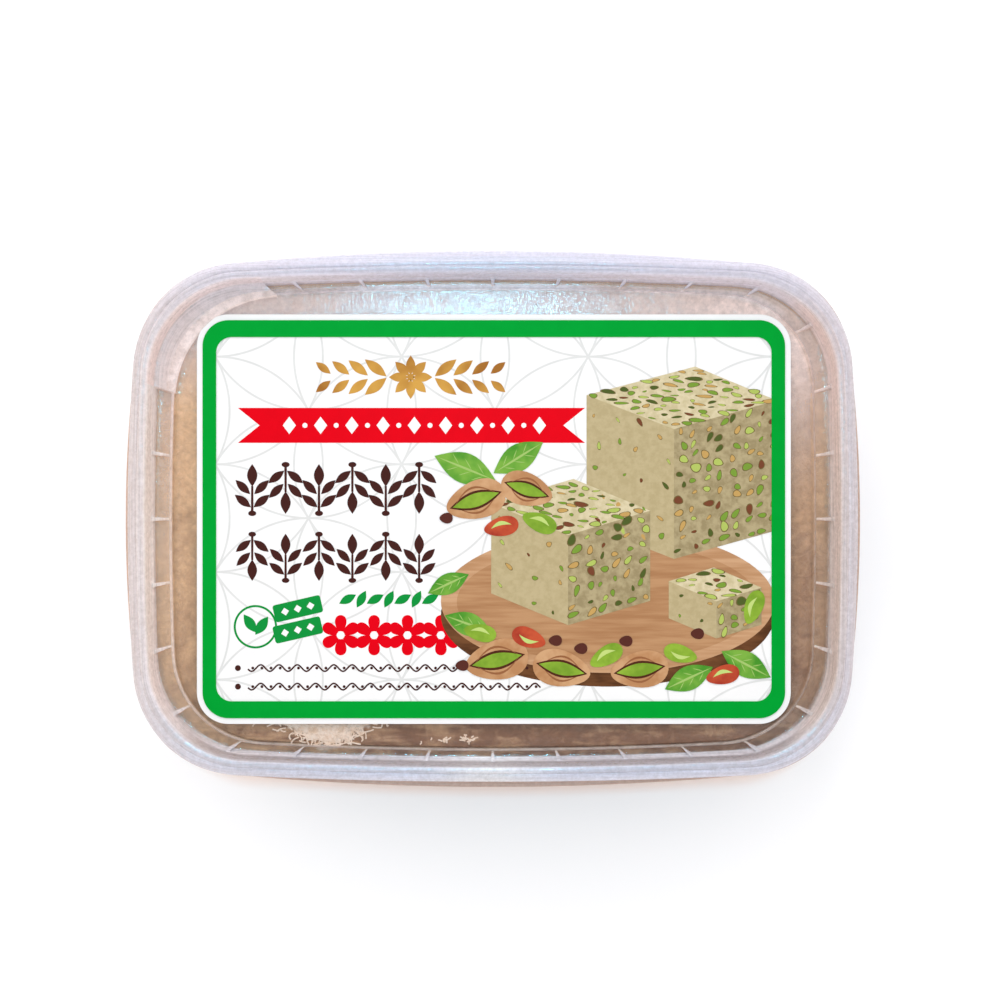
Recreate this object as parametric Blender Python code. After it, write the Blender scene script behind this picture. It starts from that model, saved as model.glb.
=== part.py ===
"""A shut rectangular plastic tub filled with pistachio halva, with a press-down lid and a paper label.

The tub stands on its foot ring with the lid on top. +X runs along the long side, +Y along the
short side and +Z up. The origin is the middle of the underside. Sizes are in millimetres here
and are turned into metres when the meshes are made.
"""
import bmesh
import bpy
import numpy as np

MM = 0.001

# Heights above the surface that the tub stands on
HEIGHT = 33.0
PANEL_TOP = HEIGHT - 3.8
CHANNEL_TOP = HEIGHT - 4.5
FLANGE_TOP = HEIGHT - 6.4
FLANGE_BOTTOM = HEIGHT - 7.1
TUB_RIM_TOP = HEIGHT - 1.3
FOOT_RECESS = 0.5
FLOOR_TOP = 1.3

# Thicknesses and the gap that neighbours keep
LID_WALL = 0.7
TUB_WALL = 0.8
LABEL_THICKNESS = 0.2
GAP = 0.3

# Outlines: half length, half width, bow radius of the short sides, bow radius of the long
# sides, corner radius. A bow of 100 m is as good as straight.
FLANGE = (70.0, 51.1, 261.0, 521.0, 19.8)
LID = (69.3, 49.9, 378.0, 980.0, 20.7)
PLUG_FOOT = (63.8, 45.05, 676.0, 876.0, 18.4)
STEP_FOOT = (61.3, 43.9, 700.0, 800.0, 17.9)
STEP_TOP = (60.3, 43.1, 700.0, 800.0, 17.3)
LABEL = (56.05, 38.65, 100000.0, 100000.0, 6.0)

# The tub's wall leans in towards the base, and its lower edge is rounded
WALL_LEAN = 0.155
BASE_ROUND = 3.0
FOOT_RING_WIDTH = 2.2

# Stiffening ribs stand in the lid's channel, equally spaced, and one corner has a raised band
RIB_COUNT = 32
RIB_WIDTH = 0.55
RIBS_IN_BAND = (12, 13, 14)
BAND_TOP = HEIGHT - 3.0
BAND_START = 11.45 / RIB_COUNT
BAND_END = 14.0 / RIB_COUNT
BAND_STEPS = 12
BAND_BULGE = 0.55

# Facets of a quarter outline: along the short side, round the corner, along the long side
QUARTER_FACETS = (3, 8, 5)

# Relief of the halva's top
CRUMB_DEPTH = 0.55
CRUMB_LENGTH = 6.5
TOP_RINGS = (0.955, 0.9, 0.83, 0.7, 0.5, 0.25)

PLASTIC = (0.80, 0.78, 0.77)
PAPER = (0.95, 0.95, 0.93)
HALVA = (0.62, 0.42, 0.24)


def clear_scene():
    """Removes every object, so that the script can run in any file."""
    for item in list(bpy.data.objects):
        bpy.data.objects.remove(item, do_unlink=True)


def plain_material(name, colour, roughness):
    material = bpy.data.materials.new(name)
    material.use_nodes = True
    shader = material.node_tree.nodes["Principled BSDF"]
    shader.inputs["Base Color"].default_value = (*colour, 1.0)
    shader.inputs["Roughness"].default_value = roughness
    shader.inputs["Metallic"].default_value = 0.0
    return material


def inset(shape, distance):
    """The outline parallel to shape, that far inside it."""
    return tuple(value - distance for value in shape)


def quarter(shape, facets):
    """Points of a quarter outline from (a, 0) to (0, b): a short side's arc about a point on
    the X axis, a corner circle that touches it from inside, and a long side's arc about a
    point on the Y axis that touches the same circle."""
    a, b, end_bow, side_bow, corner = shape
    end_centre = np.array([a - end_bow, 0.0])
    side_centre = np.array([0.0, b - side_bow])
    apart = side_centre - end_centre
    distance = np.hypot(*apart)
    along = apart / distance
    across = np.array([-along[1], along[0]])
    reach = (distance**2 + (end_bow - corner)**2 - (side_bow - corner)**2) / (2 * distance)
    height = np.sqrt((end_bow - corner)**2 - reach**2)
    corner_centre = end_centre + along * reach + across * height
    first = np.arctan2(*(corner_centre - end_centre)[::-1])
    last = np.arctan2(*(corner_centre - side_centre)[::-1])
    stretches = (
        (end_centre, end_bow, 0.0, first, facets[0]),
        (corner_centre, corner, first, last, facets[1]),
        (side_centre, side_bow, last, np.pi / 2, facets[2]),
    )
    points = []
    for centre, radius, start, stop, count in stretches:
        angles = start + (stop - start) * np.arange(count) / count
        points.append(centre + radius * np.column_stack([np.cos(angles), np.sin(angles)]))
    points.append([[0.0, b]])
    return np.vstack(points)


def outline(shape, facets=QUARTER_FACETS):
    """The whole outline, anticlockwise from the middle of the +X side: the quarter, mirrored."""
    first = quarter(shape, facets)
    second = first[::-1] * (-1, 1)
    return np.vstack([first[:-1], second[:-1], -first[:-1], -second[:-1]])


def between(outer, inner, share):
    """The outline that lies a share of the way from outer to inner, point by point."""
    return outline(outer) * (1 - share) + outline(inner) * share


def ring(points, z):
    return np.column_stack([points, np.full(len(points), z)])


def make_object(name, verts, faces, material):
    """A smooth-shaded object of the given millimetre points."""
    mesh = bpy.data.meshes.new(name)
    bm = bmesh.new()
    corners = [bm.verts.new(tuple(point)) for point in np.asarray(verts) * MM]
    for face in faces:
        bm.faces.new([corners[i] for i in face])
    bm.to_mesh(mesh)
    bm.free()
    mesh.materials.append(material)
    mesh.shade_smooth()
    mesh.set_sharp_from_angle(angle=np.radians(35))
    item = bpy.data.objects.new(name, mesh)
    bpy.context.scene.collection.objects.link(item)
    return item


def loft(name, rings, material):
    """A closed body: anticlockwise rings joined in order, with a flat cap at each end. The
    first cap faces down or back, so a profile starts at the middle of its underside."""
    count = len(rings[0])
    faces = [list(range(count))[::-1]]
    for row in range(len(rings) - 1):
        low, high = row * count, (row + 1) * count
        for i in range(count):
            j = (i + 1) % count
            faces.append([low + i, low + j, high + j, high + i])
    last = (len(rings) - 1) * count
    faces.append(list(range(last, last + count)))
    return make_object(name, np.vstack(rings), faces, material)


def make_tub(plastic):
    """The tub: one profile from the middle of the underside, up the outside, over the rim and
    down the inside to the floor."""
    rim_outside = between(LID, PLUG_FOOT, 0.36)
    rim_inside = between(LID, PLUG_FOOT, 0.66)
    inner = tuple(np.array(LID) * 0.34 + np.array(PLUG_FOOT) * 0.66)
    lean_from = FLANGE_BOTTOM

    def wall(z, thickness):
        return outline(inset(inner, (lean_from - z) * WALL_LEAN - thickness))

    base = inset(inner, (lean_from - BASE_ROUND) * WALL_LEAN - TUB_WALL)
    rounding = [
        ring(outline(inset(base, BASE_ROUND * (1 - np.sin(angle)))), BASE_ROUND * (1 - np.cos(angle)))
        for angle in np.radians((0, 30, 60, 90))
    ]
    recess = inset(base, BASE_ROUND + FOOT_RING_WIDTH)
    rings = [
        ring(outline(inset(recess, FOOT_RECESS)), FOOT_RECESS),
        ring(outline(recess), 0.0),
        *rounding,
        ring(wall(FLANGE_BOTTOM - 0.4, TUB_WALL), FLANGE_BOTTOM - 0.4),
        ring(outline(inset(FLANGE, 2.8)), FLANGE_BOTTOM),
        ring(outline(inset(FLANGE, 0.25)), FLANGE_BOTTOM),
        ring(outline(FLANGE), FLANGE_BOTTOM + 0.25),
        ring(outline(FLANGE), FLANGE_TOP - 0.2),
        ring(outline(inset(FLANGE, 0.25)), FLANGE_TOP),
        ring(rim_outside, FLANGE_TOP + 0.1),
        ring(rim_outside, TUB_RIM_TOP - 0.5),
        ring(between(LID, PLUG_FOOT, 0.43), TUB_RIM_TOP),
        ring(between(LID, PLUG_FOOT, 0.59), TUB_RIM_TOP),
        ring(rim_inside, TUB_RIM_TOP - 0.5),
        ring(wall(lean_from, 0.0), lean_from),
        ring(wall(FLOOR_TOP + 2.2, 0.0), FLOOR_TOP + 2.2),
        ring(outline(inset(inner, (lean_from - FLOOR_TOP) * WALL_LEAN + 0.6)), FLOOR_TOP + 0.7),
        ring(outline(inset(inner, (lean_from - FLOOR_TOP) * WALL_LEAN + 2.2)), FLOOR_TOP),
    ]
    return loft("tub", rings, plastic)


def rim_profile():
    """The lid's rim from the skirt's lip to the channel, as shares of the way from the lid's
    outline to the plug's foot, with heights below the lid's top."""
    return (
        (0.0, -6.0), (0.0, -5.5), (0.055, -5.1), (0.155, -1.5), (0.22, -0.7), (0.33, -0.28),
        (0.445, -0.22), (0.482, -0.38), (0.518, -0.15), (0.565, 0.0), (0.655, 0.0),
        (0.745, -0.15), (0.855, -0.8), (0.89, -1.5), (0.94, -4.1), (1.0, -4.5),
    )


def underside_profile():
    """The inside of the same rim, from under the channel back to the foot of the skirt."""
    return (
        (0.95, -5.2), (0.87, -5.0), (0.815, -4.3), (0.765, -1.6), (0.70, -0.85), (0.60, -0.7),
        (0.47, -0.95), (0.36, -1.0), (0.29, -1.5), (0.19, -5.0), (0.17, -6.0),
    )


def rib_place(share_round):
    """A point in the channel that share of the way round from the middle of the +X side, and
    the outward direction there."""
    fine = (24, 64, 40)
    outer = outline(PLUG_FOOT, fine)
    inner = outline(STEP_FOOT, fine)
    middle = (outer + inner) / 2
    steps = np.hypot(*(np.roll(middle, -1, axis=0) - middle).T)
    walked = np.concatenate([[0.0], np.cumsum(steps)])
    target = share_round * walked[-1]

    def at(points):
        closed = np.vstack([points, points[:1]])
        return np.array([np.interp(target, walked, closed[:, axis]) for axis in (0, 1)])

    return at(outer), at(inner)


def make_rib(index, material):
    """A small gusset across the channel: it climbs from the step's foot up the plug's wall and
    is widest at the wall."""
    outer, inner = rib_place(index / RIB_COUNT)
    outward = (outer - inner) / np.hypot(*(outer - inner))
    along = np.array([-outward[1], outward[0]])
    wall_end = outer + outward * 0.45
    step_end = inner - outward * 0.35
    verts = []
    for point, half_width, top in (
        (step_end, RIB_WIDTH * 0.35, CHANNEL_TOP + 0.35),
        (wall_end, RIB_WIDTH * 0.6, CHANNEL_TOP + 1.7),
    ):
        for side in (-1, 1):
            place = point + along * side * half_width
            verts.append((*place, CHANNEL_TOP - 0.3))
            verts.append((*place, top))
    faces = [[0, 1, 3, 2], [4, 6, 7, 5], [0, 4, 5, 1], [2, 3, 7, 6], [1, 5, 7, 3], [0, 2, 6, 4]]
    return make_object(f"rib_{index}", verts, faces, material)


def make_band(material):
    """The raised band in the channel's back left corner, from the plug's wall over the step to
    the panel's corner, thickest at the middle of the bend."""
    sections = []
    for step in range(BAND_STEPS + 1):
        share = step / BAND_STEPS
        outer, inner = rib_place(BAND_START + (BAND_END - BAND_START) * share)
        outward = (outer - inner) / np.hypot(*(outer - inner))
        reach = 0.45 + BAND_BULGE * np.sin(np.pi * share)
        wall_point = outer + outward * 0.4
        panel_point = inner - outward * reach
        lip_point = panel_point + outward * 0.35
        sections.append([
            (*panel_point, CHANNEL_TOP - 0.3),
            (*panel_point, BAND_TOP - 0.3),
            (*lip_point, BAND_TOP),
            (*wall_point, BAND_TOP),
            (*wall_point, CHANNEL_TOP - 0.3),
        ])
    return loft("band", sections, material)


def make_lid(plastic):
    """The lid: one profile from the middle of its underside out to the skirt's lip, and back
    over the rim and the channel to the panel, with the ribs and the raised band joined on."""
    profile = underside_profile() + rim_profile()
    rings = [
        ring(outline(inset(STEP_TOP, 0.35)), PANEL_TOP - LID_WALL),
        ring(outline(inset(STEP_FOOT, 0.35)), CHANNEL_TOP - LID_WALL),
        *[ring(between(LID, PLUG_FOOT, share), HEIGHT + drop) for share, drop in profile],
        ring(outline(STEP_FOOT), CHANNEL_TOP),
        ring(outline(STEP_TOP), PANEL_TOP),
    ]
    lid = loft("lid", rings, plastic)

    extras = bpy.data.collections.new("lid_extras")
    bpy.context.scene.collection.children.link(extras)
    pieces = [make_band(plastic)]
    pieces += [make_rib(index, plastic) for index in range(RIB_COUNT) if index not in RIBS_IN_BAND]
    for piece in pieces:
        bpy.context.scene.collection.objects.unlink(piece)
        extras.objects.link(piece)
    join = lid.modifiers.new("join", "BOOLEAN")
    join.operation = "UNION"
    join.solver = "EXACT"
    join.operand_type = "COLLECTION"
    join.collection = extras
    apply_modifiers(lid)
    for piece in pieces:
        bpy.data.objects.remove(piece, do_unlink=True)
    bpy.data.collections.remove(extras)
    return lid


def apply_modifiers(item):
    """Keeps the mesh as the modifiers leave it, and removes them."""
    graph = bpy.context.evaluated_depsgraph_get()
    finished = bpy.data.meshes.new_from_object(item.evaluated_get(graph))
    item.modifiers.clear()
    item.data = finished


def crumb(points):
    """How far the halva's top lies below its highest level, from 0 to 1: three crossing waves."""
    x, y = points[:, 0] / CRUMB_LENGTH, points[:, 1] / CRUMB_LENGTH
    waves = np.sin(2.1 * x + 1.3 * y) + np.sin(3.3 * y - 1.9 * x + 1.0) + np.sin(4.6 * x + 2.7 * y + 2.0)
    return 0.5 + waves / 6


def make_halva(food):
    """The filling: a block with the tub's taper, up to just under the lid, with a crumbly top."""
    inner = tuple(np.array(LID) * 0.34 + np.array(PLUG_FOOT) * 0.66)

    def side(z, extra=0.0):
        return outline(inset(inner, (FLANGE_BOTTOM - z) * WALL_LEAN + GAP + extra))

    bottom = FLOOR_TOP + GAP
    shoulder = CHANNEL_TOP - LID_WALL - GAP - 1.2
    under_channel = CHANNEL_TOP - LID_WALL - GAP - 0.15
    under_panel = PANEL_TOP - LID_WALL - GAP
    rings = [
        ring(side(FLOOR_TOP, 2.6), bottom),
        ring(side(FLOOR_TOP + 0.9, 0.9), bottom + 0.7),
        ring(side(FLOOR_TOP + 3.0, 0.1), FLOOR_TOP + 3.0),
        ring(side(FLANGE_BOTTOM), FLANGE_BOTTOM),
        ring(side(FLANGE_BOTTOM, 0.6), shoulder),
    ]
    edge = inset(STEP_TOP, 0.8)
    for points, level in (
        (outline(PLUG_FOOT), under_channel),
        (outline(STEP_FOOT), under_channel),
        (outline(edge), under_panel),
    ):
        rings.append(np.column_stack([points, level - CRUMB_DEPTH * crumb(points)]))
    for share in TOP_RINGS:
        points = outline(edge) * share
        rings.append(np.column_stack([points, under_panel - CRUMB_DEPTH * crumb(points)]))
    rings.append(ring(outline(edge) * 0.1, under_panel - CRUMB_DEPTH / 2))
    return loft("halva", rings, food)


def make_label(paper):
    """The label: a thin sheet with round corners that lies on the lid's panel."""
    low = PANEL_TOP + GAP
    return loft("label", [ring(outline(LABEL), z) for z in (low, low + LABEL_THICKNESS)], paper)


def main():
    clear_scene()
    plastic = plain_material("milky_plastic", PLASTIC, 0.35)
    make_tub(plastic)
    make_lid(plastic)
    make_halva(plain_material("halva", HALVA, 0.7))
    make_label(plain_material("label_paper", PAPER, 0.5))


main()
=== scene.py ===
# %% [markdown]
# A shut tub of halva, seen from straight above
#
# The real thing is a shallow polypropylene tub with a press-down lid, so thin and milky that the halva
# shows through it, and a printed paper label on the lid. The solids of the part are loaded as a fixed
# frame. Every piece below is a finer surface that takes the place of one of them.

import bpy
import numpy as np
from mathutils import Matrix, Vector


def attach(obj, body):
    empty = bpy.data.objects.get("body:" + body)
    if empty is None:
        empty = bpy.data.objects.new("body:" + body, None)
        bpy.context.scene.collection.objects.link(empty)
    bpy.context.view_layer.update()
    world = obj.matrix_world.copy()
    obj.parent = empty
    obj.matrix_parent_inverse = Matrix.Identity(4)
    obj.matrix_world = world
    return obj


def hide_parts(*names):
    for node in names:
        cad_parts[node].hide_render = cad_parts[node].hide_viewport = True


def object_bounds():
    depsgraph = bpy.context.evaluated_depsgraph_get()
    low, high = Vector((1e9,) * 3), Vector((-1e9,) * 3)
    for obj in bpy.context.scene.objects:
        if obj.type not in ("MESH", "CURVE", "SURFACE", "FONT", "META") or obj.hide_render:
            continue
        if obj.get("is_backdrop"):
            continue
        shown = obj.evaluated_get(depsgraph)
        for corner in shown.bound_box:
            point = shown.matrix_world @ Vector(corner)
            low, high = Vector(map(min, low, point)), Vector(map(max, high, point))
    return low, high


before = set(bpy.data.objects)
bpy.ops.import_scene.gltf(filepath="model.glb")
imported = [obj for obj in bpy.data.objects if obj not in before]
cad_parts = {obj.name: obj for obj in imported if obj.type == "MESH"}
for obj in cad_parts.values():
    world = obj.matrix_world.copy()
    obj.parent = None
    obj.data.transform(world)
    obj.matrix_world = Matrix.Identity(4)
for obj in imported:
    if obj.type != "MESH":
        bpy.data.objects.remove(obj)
cad_low, cad_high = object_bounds()
MM = 0.001
HEIGHT = cad_high.z / MM
print("frame", [round(v / MM, 2) for v in (*cad_low, *cad_high)])

# %% [markdown]
# The outline that every ring follows
#
# Seen from above, the lid, the tub and the lid's channel are all the same kind of shape: a rectangle
# whose sides bow out a little and whose corners are round. It could be drawn by hand as a curve, but
# three circles say it exactly: one for the short sides, one for the long sides, and a corner circle
# that touches both from inside. Five lengths then describe any ring, and a ring between two others is
# a blend of them, point by point.

# %% The bowed rectangle
# half length, half width, bow radius of the short sides, of the long sides, corner radius
FLANGE = (70.0, 51.1, 261.0, 521.0, 19.8)
LID = (69.3, 49.9, 378.0, 980.0, 20.7)
PLUG_FOOT = (63.8, 45.05, 676.0, 876.0, 18.4)
STEP_FOOT = (61.3, 43.9, 700.0, 800.0, 17.9)
STEP_TOP = (60.7, 43.45, 700.0, 800.0, 17.6)
# points on a quarter's end arc, corner and side arc
ARC_POINTS = (60, 160, 100)


def quarter(shape):
    """A quarter outline from (a, 0) to (0, b). The end arc turns about (a - end bow, 0), the side
    arc about (0, b - side bow), and the corner circle's centre is where two circles about those
    points, each smaller than its arc by the corner radius, cross."""
    a, b, end_bow, side_bow, corner = shape
    ends, sides = np.array([a - end_bow, 0.0]), np.array([0.0, b - side_bow])
    gap = np.hypot(*(sides - ends))
    along = (sides - ends) / gap
    across = np.array([-along[1], along[0]])
    reach = (gap**2 + (end_bow - corner)**2 - (side_bow - corner)**2) / (2 * gap)
    centre = ends + along * reach + across * np.sqrt((end_bow - corner)**2 - reach**2)
    first = np.arctan2(*(centre - ends)[::-1])
    last = np.arctan2(*(centre - sides)[::-1])
    arcs = ((ends, end_bow, 0.0, first), (centre, corner, first, last), (sides, side_bow, last, np.pi / 2))
    points = []
    for (middle, radius, start, stop), count in zip(arcs, ARC_POINTS):
        angle = start + (stop - start) * np.arange(count) / count
        points.append(middle + radius * np.column_stack([np.cos(angle), np.sin(angle)]))
    return np.vstack(points + [[[0.0, b]]])


def outline(shape):
    """The whole outline, anticlockwise from the middle of the +X side, closed on its first point."""
    first = quarter(shape)
    second = first[::-1] * (-1, 1)
    return np.vstack([first[:-1], second[:-1], -first[:-1], -second[:-1], first[:1]])


def inset(shape, distance):
    """The parallel outline that far inside, because all five lengths shrink alike."""
    return tuple(value - distance for value in shape)


print("the lid's outline has", len(outline(LID)), "points")

# %% Places round the object
channel_line = (outline(PLUG_FOOT) + outline(STEP_FOOT)) / 2
walked = np.concatenate([[0.0], np.cumsum(np.hypot(*np.diff(channel_line, axis=0).T))])
ROUND = walked[-1]
print("the channel is", round(ROUND, 1), "mm round")


def around(shape, places):
    """Points of an outline at places given in millimetres walked along the channel's middle."""
    line = outline(shape)
    return np.column_stack([np.interp(places, walked, line[:, axis]) for axis in (0, 1)])


def at_height(flat, z):
    """A ring of points in space: the flat points with one height added."""
    return np.column_stack([flat, np.full(len(flat), z)])


# %% [markdown]
# From a grid of points to a mesh
#
# All pieces are grids: one direction runs round the object and the other along a profile. Building
# faces one by one in Python would be slow, so the corner numbers of all faces are computed as one
# array and handed to Blender together. A closed grid wraps round, and its two open ends get flat caps,
# which makes one closed body.

# %% The mesh helpers
KINDS = {(): ("FLOAT", "value"), (3,): ("FLOAT_VECTOR", "vector"), (4,): ("FLOAT_COLOR", "color")}


def new_piece(name, points, faces, material, smooth=True, attributes=()):
    """A mesh object with its place in its mesh: points in millimetres, faces as corner numbers."""
    mesh = bpy.data.meshes.new(name)
    mesh.from_pydata((np.asarray(points, float) * MM).tolist(), [], [list(map(int, f)) for f in faces])
    mesh.materials.append(material)
    mesh.polygons.foreach_set("use_smooth", np.full(len(mesh.polygons), smooth))
    for label, values in dict(attributes).items():
        values = np.asarray(values, np.float32)
        kind, field = KINDS[values.shape[1:]]
        mesh.attributes.new(label, kind, "POINT").data.foreach_set(field, values.ravel())
    piece = bpy.data.objects.new(name, mesh)
    bpy.context.scene.collection.objects.link(piece)
    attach(piece, "root")
    print(name, len(mesh.vertices), "points", sum(len(p.vertices) - 2 for p in mesh.polygons), "triangles")
    return piece


def grid_faces(rows, columns, wrap):
    """Corner numbers of a grid's quads. Column runs on to the first one again where it wraps."""
    row, column = np.meshgrid(np.arange(rows - 1), np.arange(columns - (not wrap)), indexing="ij")
    here, above = row * columns, (row + 1) * columns
    after = (column + 1) % columns
    return np.stack([here + column, here + after, above + after, above + column], axis=-1).reshape(-1, 4)


def tube_faces(count, closed):
    """Quads of a four-sided tube whose edges are four rows of points: three strips of a grid, and a
    last one from the fourth row back to the first."""
    last = grid_faces(2, count, closed)
    last = np.where(last >= count, last - count, last + 3 * count)
    return np.vstack([grid_faces(4, count, closed), last])


def lathe_like(name, grid, material, attributes=()):
    """A closed body from rings (rows, points round, 3) that start at the middle of the underside:
    outwards, up, and back inwards over the top, with a flat cap on the first and last ring."""
    rows, columns = grid.shape[:2]
    faces = grid_faces(rows, columns, True).tolist()
    faces.append(list(range(columns))[::-1])
    faces.append(list(range((rows - 1) * columns, rows * columns)))
    flat = {label: v.reshape(rows * columns, *v.shape[2:]) for label, v in dict(attributes).items()}
    return new_piece(name, grid.reshape(-1, 3), faces, material, attributes=flat)


# %% Smooth curves and steps
def spline(keys, per_span):
    """A smooth curve through key rows: between two keys it is the cubic whose slope
    at each key is half the step between that key's neighbours."""
    keys = np.asarray(keys, float)
    padded = np.vstack([2 * keys[0] - keys[1], keys, 2 * keys[-1] - keys[-2]])
    before, start, stop, beyond = (padded[i:len(padded) - 3 + i, None] for i in range(4))
    t = (np.arange(per_span) / per_span)[None, :, None]
    curve = 0.5 * (
        2 * start + (stop - before) * t + (2 * before - 5 * start + 4 * stop - beyond) * t**2
        + (3 * start - before - 3 * stop + beyond) * t**3
    )
    return np.vstack([curve.reshape(-1, keys.shape[1]), keys[-1:]])


def smooth_step(value, low, high):
    """0 below low, 1 above high, and 3t^2 - 2t^3 between."""
    t = np.clip((value - low) / (high - low), 0, 1)
    return t * t * (3 - 2 * t)


def bell(value, middle, reach):
    """1 at the middle, falling off on both sides like exp(-t^2)."""
    return np.exp(-((value - middle) / reach)**2)


print("a smooth step a quarter of the way", smooth_step(0.25, 0, 1))

# %% [markdown]
# Noise for what is uneven
#
# Pressed halva and a thin moulded panel are never quite even. A bitmap could say so, but a value noise
# needs none: every whole-number corner of a square grid gets a fixed random height, and a point
# between four corners gets their smooth blend.

# %% Value noise
def corner_height(i, j, seed):
    """A fixed number from 0 to 1 for each grid corner: the fraction of a large sine."""
    return np.modf(np.abs(np.sin(i * 12.9898 + j * 78.233 + seed * 37.719) * 43758.5453))[0]


def noise(x, y, seed=0):
    """Smooth noise from 0 to 1, with bumps about one unit across."""
    i, j = np.floor(x), np.floor(y)
    u, v = x - i, y - j
    u, v = u * u * (3 - 2 * u), v * v * (3 - 2 * v)
    low = corner_height(i, j, seed) * (1 - u) + corner_height(i + 1, j, seed) * u
    high = corner_height(i, j + 1, seed) * (1 - u) + corner_height(i + 1, j + 1, seed) * u
    return low * (1 - v) + high * v


def layered(x, y, seed=0, layers=4):
    """Noise plus finer noise, each layer half as large and half as strong."""
    total = sum(noise(x * 2**k, y * 2**k, seed + k) / 2**k for k in range(layers))
    return total / (2 - 2**(1 - layers))


print("noise at the middle", round(float(layered(0.5, 0.5)), 3))

# %% [markdown]
# Milky plastic
#
# Natural polypropylene lets light through but scatters some of it, so it looks like thin fog over what
# lies behind. Real refraction through such thin walls is slow and noisy. Here each surface is a mix:
# mostly clear, partly a soft white body, and on top a gloss that grows towards grazing angles. The body
# glows a little on the side away from the light, as thin milky plastic does. Four attributes steer it:
# haze is how foggy the wall is, high where it stands in air and low where oily halva wets it from
# behind, and raised in front for a painted highlight and lowered at the back for a painted shade; glow
# is how much of its light comes through from the far side; tint is the body's colour with painted light
# and shade in it: each side's light, a tone along the rim and the warm light of the halva below; flow is
# the place along and across the moulded edge, for the fine lines that run round with it.

# %% Helpers for materials
def node(tree, kind, **values):
    """A new node with its settings and sockets filled in by name. Another node's output is linked."""
    made = tree.nodes.new(kind)
    for key, value in values.items():
        if hasattr(made, key):
            setattr(made, key, value)
        elif isinstance(value, bpy.types.NodeSocket):
            tree.links.new(value, made.inputs[key.replace("_", " ")])
        else:
            made.inputs[key.replace("_", " ")].default_value = value
    return made


def empty_material(name):
    """A material with only an output node, with its tree."""
    material = bpy.data.materials.new(name)
    material.use_nodes = True
    material.node_tree.nodes.clear()
    return material, material.node_tree, material.node_tree.nodes.new("ShaderNodeOutputMaterial")


def attribute(tree, name, output):
    """What the piece's mesh says at each point under that name."""
    return node(tree, "ShaderNodeAttribute", attribute_name=name).outputs[output]


# %% Textures and shaders
def texture(tree, where, scale, detail, roughness, **more):
    """Blender's own noise at the places given, from 0 to 1."""
    settings = {"Scale": scale, "Detail": detail, "Roughness": roughness, **more}
    return node(tree, "ShaderNodeTexNoise", Vector=where, **settings).outputs["Fac"]


def remapped(tree, socket, low, high, to_low, to_high):
    """A value stretched from one range to another and kept inside the second."""
    ranges = {"From_Min": low, "From_Max": high, "To_Min": to_low, "To_Max": to_high}
    return node(tree, "ShaderNodeMapRange", Value=socket, **ranges).outputs["Result"]


def product(tree, first, second, clamp=False):
    """Two values multiplied, kept from 0 to 1 if clamp is set."""
    made = node(tree, "ShaderNodeMath", operation="MULTIPLY", use_clamp=clamp)
    tree.links.new(first, made.inputs[0])
    tree.links.new(second, made.inputs[1])
    return made.outputs["Value"]


def shader_mix(tree, share, first, second):
    """The first shader where the share is 0 and the second where it is 1."""
    made = node(tree, "ShaderNodeMixShader", Fac=share)
    tree.links.new(first, made.inputs[1])
    tree.links.new(second, made.inputs[2])
    return made.outputs["Shader"]


def coated(tree, output, colour, roughness, specular, **more):
    """A plain surface with a gloss, as the material's last node."""
    shader = node(tree, "ShaderNodeBsdfPrincipled", Base_Color=colour, Roughness=roughness, **more)
    shader.inputs["Specular IOR Level"].default_value = specular
    tree.links.new(shader.outputs["BSDF"], output.inputs["Surface"])


# %% The plastic's material
def milky(name, clear, roughness):
    """Clear and white mixed by haze, under a gloss whose share rises with the fifth power of how
    far the surface turns away. Noise varies the haze and the gloss."""
    material, tree, output = empty_material(name)
    where = node(tree, "ShaderNodeTexCoord").outputs["Object"]
    tint = attribute(tree, "tint", "Color")

    # the fog, in fine clouds and in lines along the moulded edge
    cloud = texture(tree, where, 900.0, 3.0, 0.8)
    lines = texture(tree, attribute(tree, "flow", "Vector"), 1.0, 3.0, 0.7)
    patchy = remapped(tree, cloud, 0.25, 0.75, 0.8, 1.2)
    streaky = remapped(tree, lines, 0.3, 0.7, 0.76, 1.24)
    share = product(tree, attribute(tree, "haze", "Fac"), product(tree, patchy, streaky), clamp=True)
    white = node(tree, "ShaderNodeBsdfPrincipled", Base_Color=tint, Roughness=0.5, Specular_IOR_Level=0.0)
    glowing = node(tree, "ShaderNodeBsdfTranslucent", Color=tint)
    body = shader_mix(tree, attribute(tree, "glow", "Fac"), white.outputs["BSDF"], glowing.outputs["BSDF"])
    through = node(tree, "ShaderNodeBsdfTransparent", Color=(*clear, 1.0))
    fog = shader_mix(tree, share, through.outputs["BSDF"], body)

    # the gloss, on a pebbled surface with drawn lines
    pebble = texture(tree, where, 1500.0, 2.0, 0.6)
    rough = node(tree, "ShaderNodeBump", Strength=1.0, Distance=0.00006, Height=pebble).outputs["Normal"]
    drawn = node(tree, "ShaderNodeBump", Strength=0.5, Distance=0.00005, Height=lines, Normal=rough)
    facing = node(tree, "ShaderNodeLayerWeight", Blend=0.5)
    fifth = node(tree, "ShaderNodeMath", operation="POWER")
    fifth.inputs[1].default_value = 5.0
    tree.links.new(facing.outputs["Facing"], fifth.inputs[0])
    rising = remapped(tree, fifth.outputs["Value"], 0.0, 1.0, 0.03, 0.5)
    grainy = remapped(tree, pebble, 0.36, 0.64, 0.3, 1.7)
    gloss = node(tree, "ShaderNodeBsdfAnisotropic", Roughness=roughness, Normal=drawn.outputs["Normal"])
    covered = shader_mix(tree, product(tree, rising, grainy, clamp=True), fog, gloss.outputs["BSDF"])
    tree.links.new(covered, output.inputs["Surface"])
    print(name, len(tree.nodes), "nodes")
    return material


lid_plastic = milky("milky_lid", (0.985, 0.975, 0.965), 0.1)
tub_plastic = milky("milky_tub", (0.97, 0.96, 0.95), 0.28)
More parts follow.
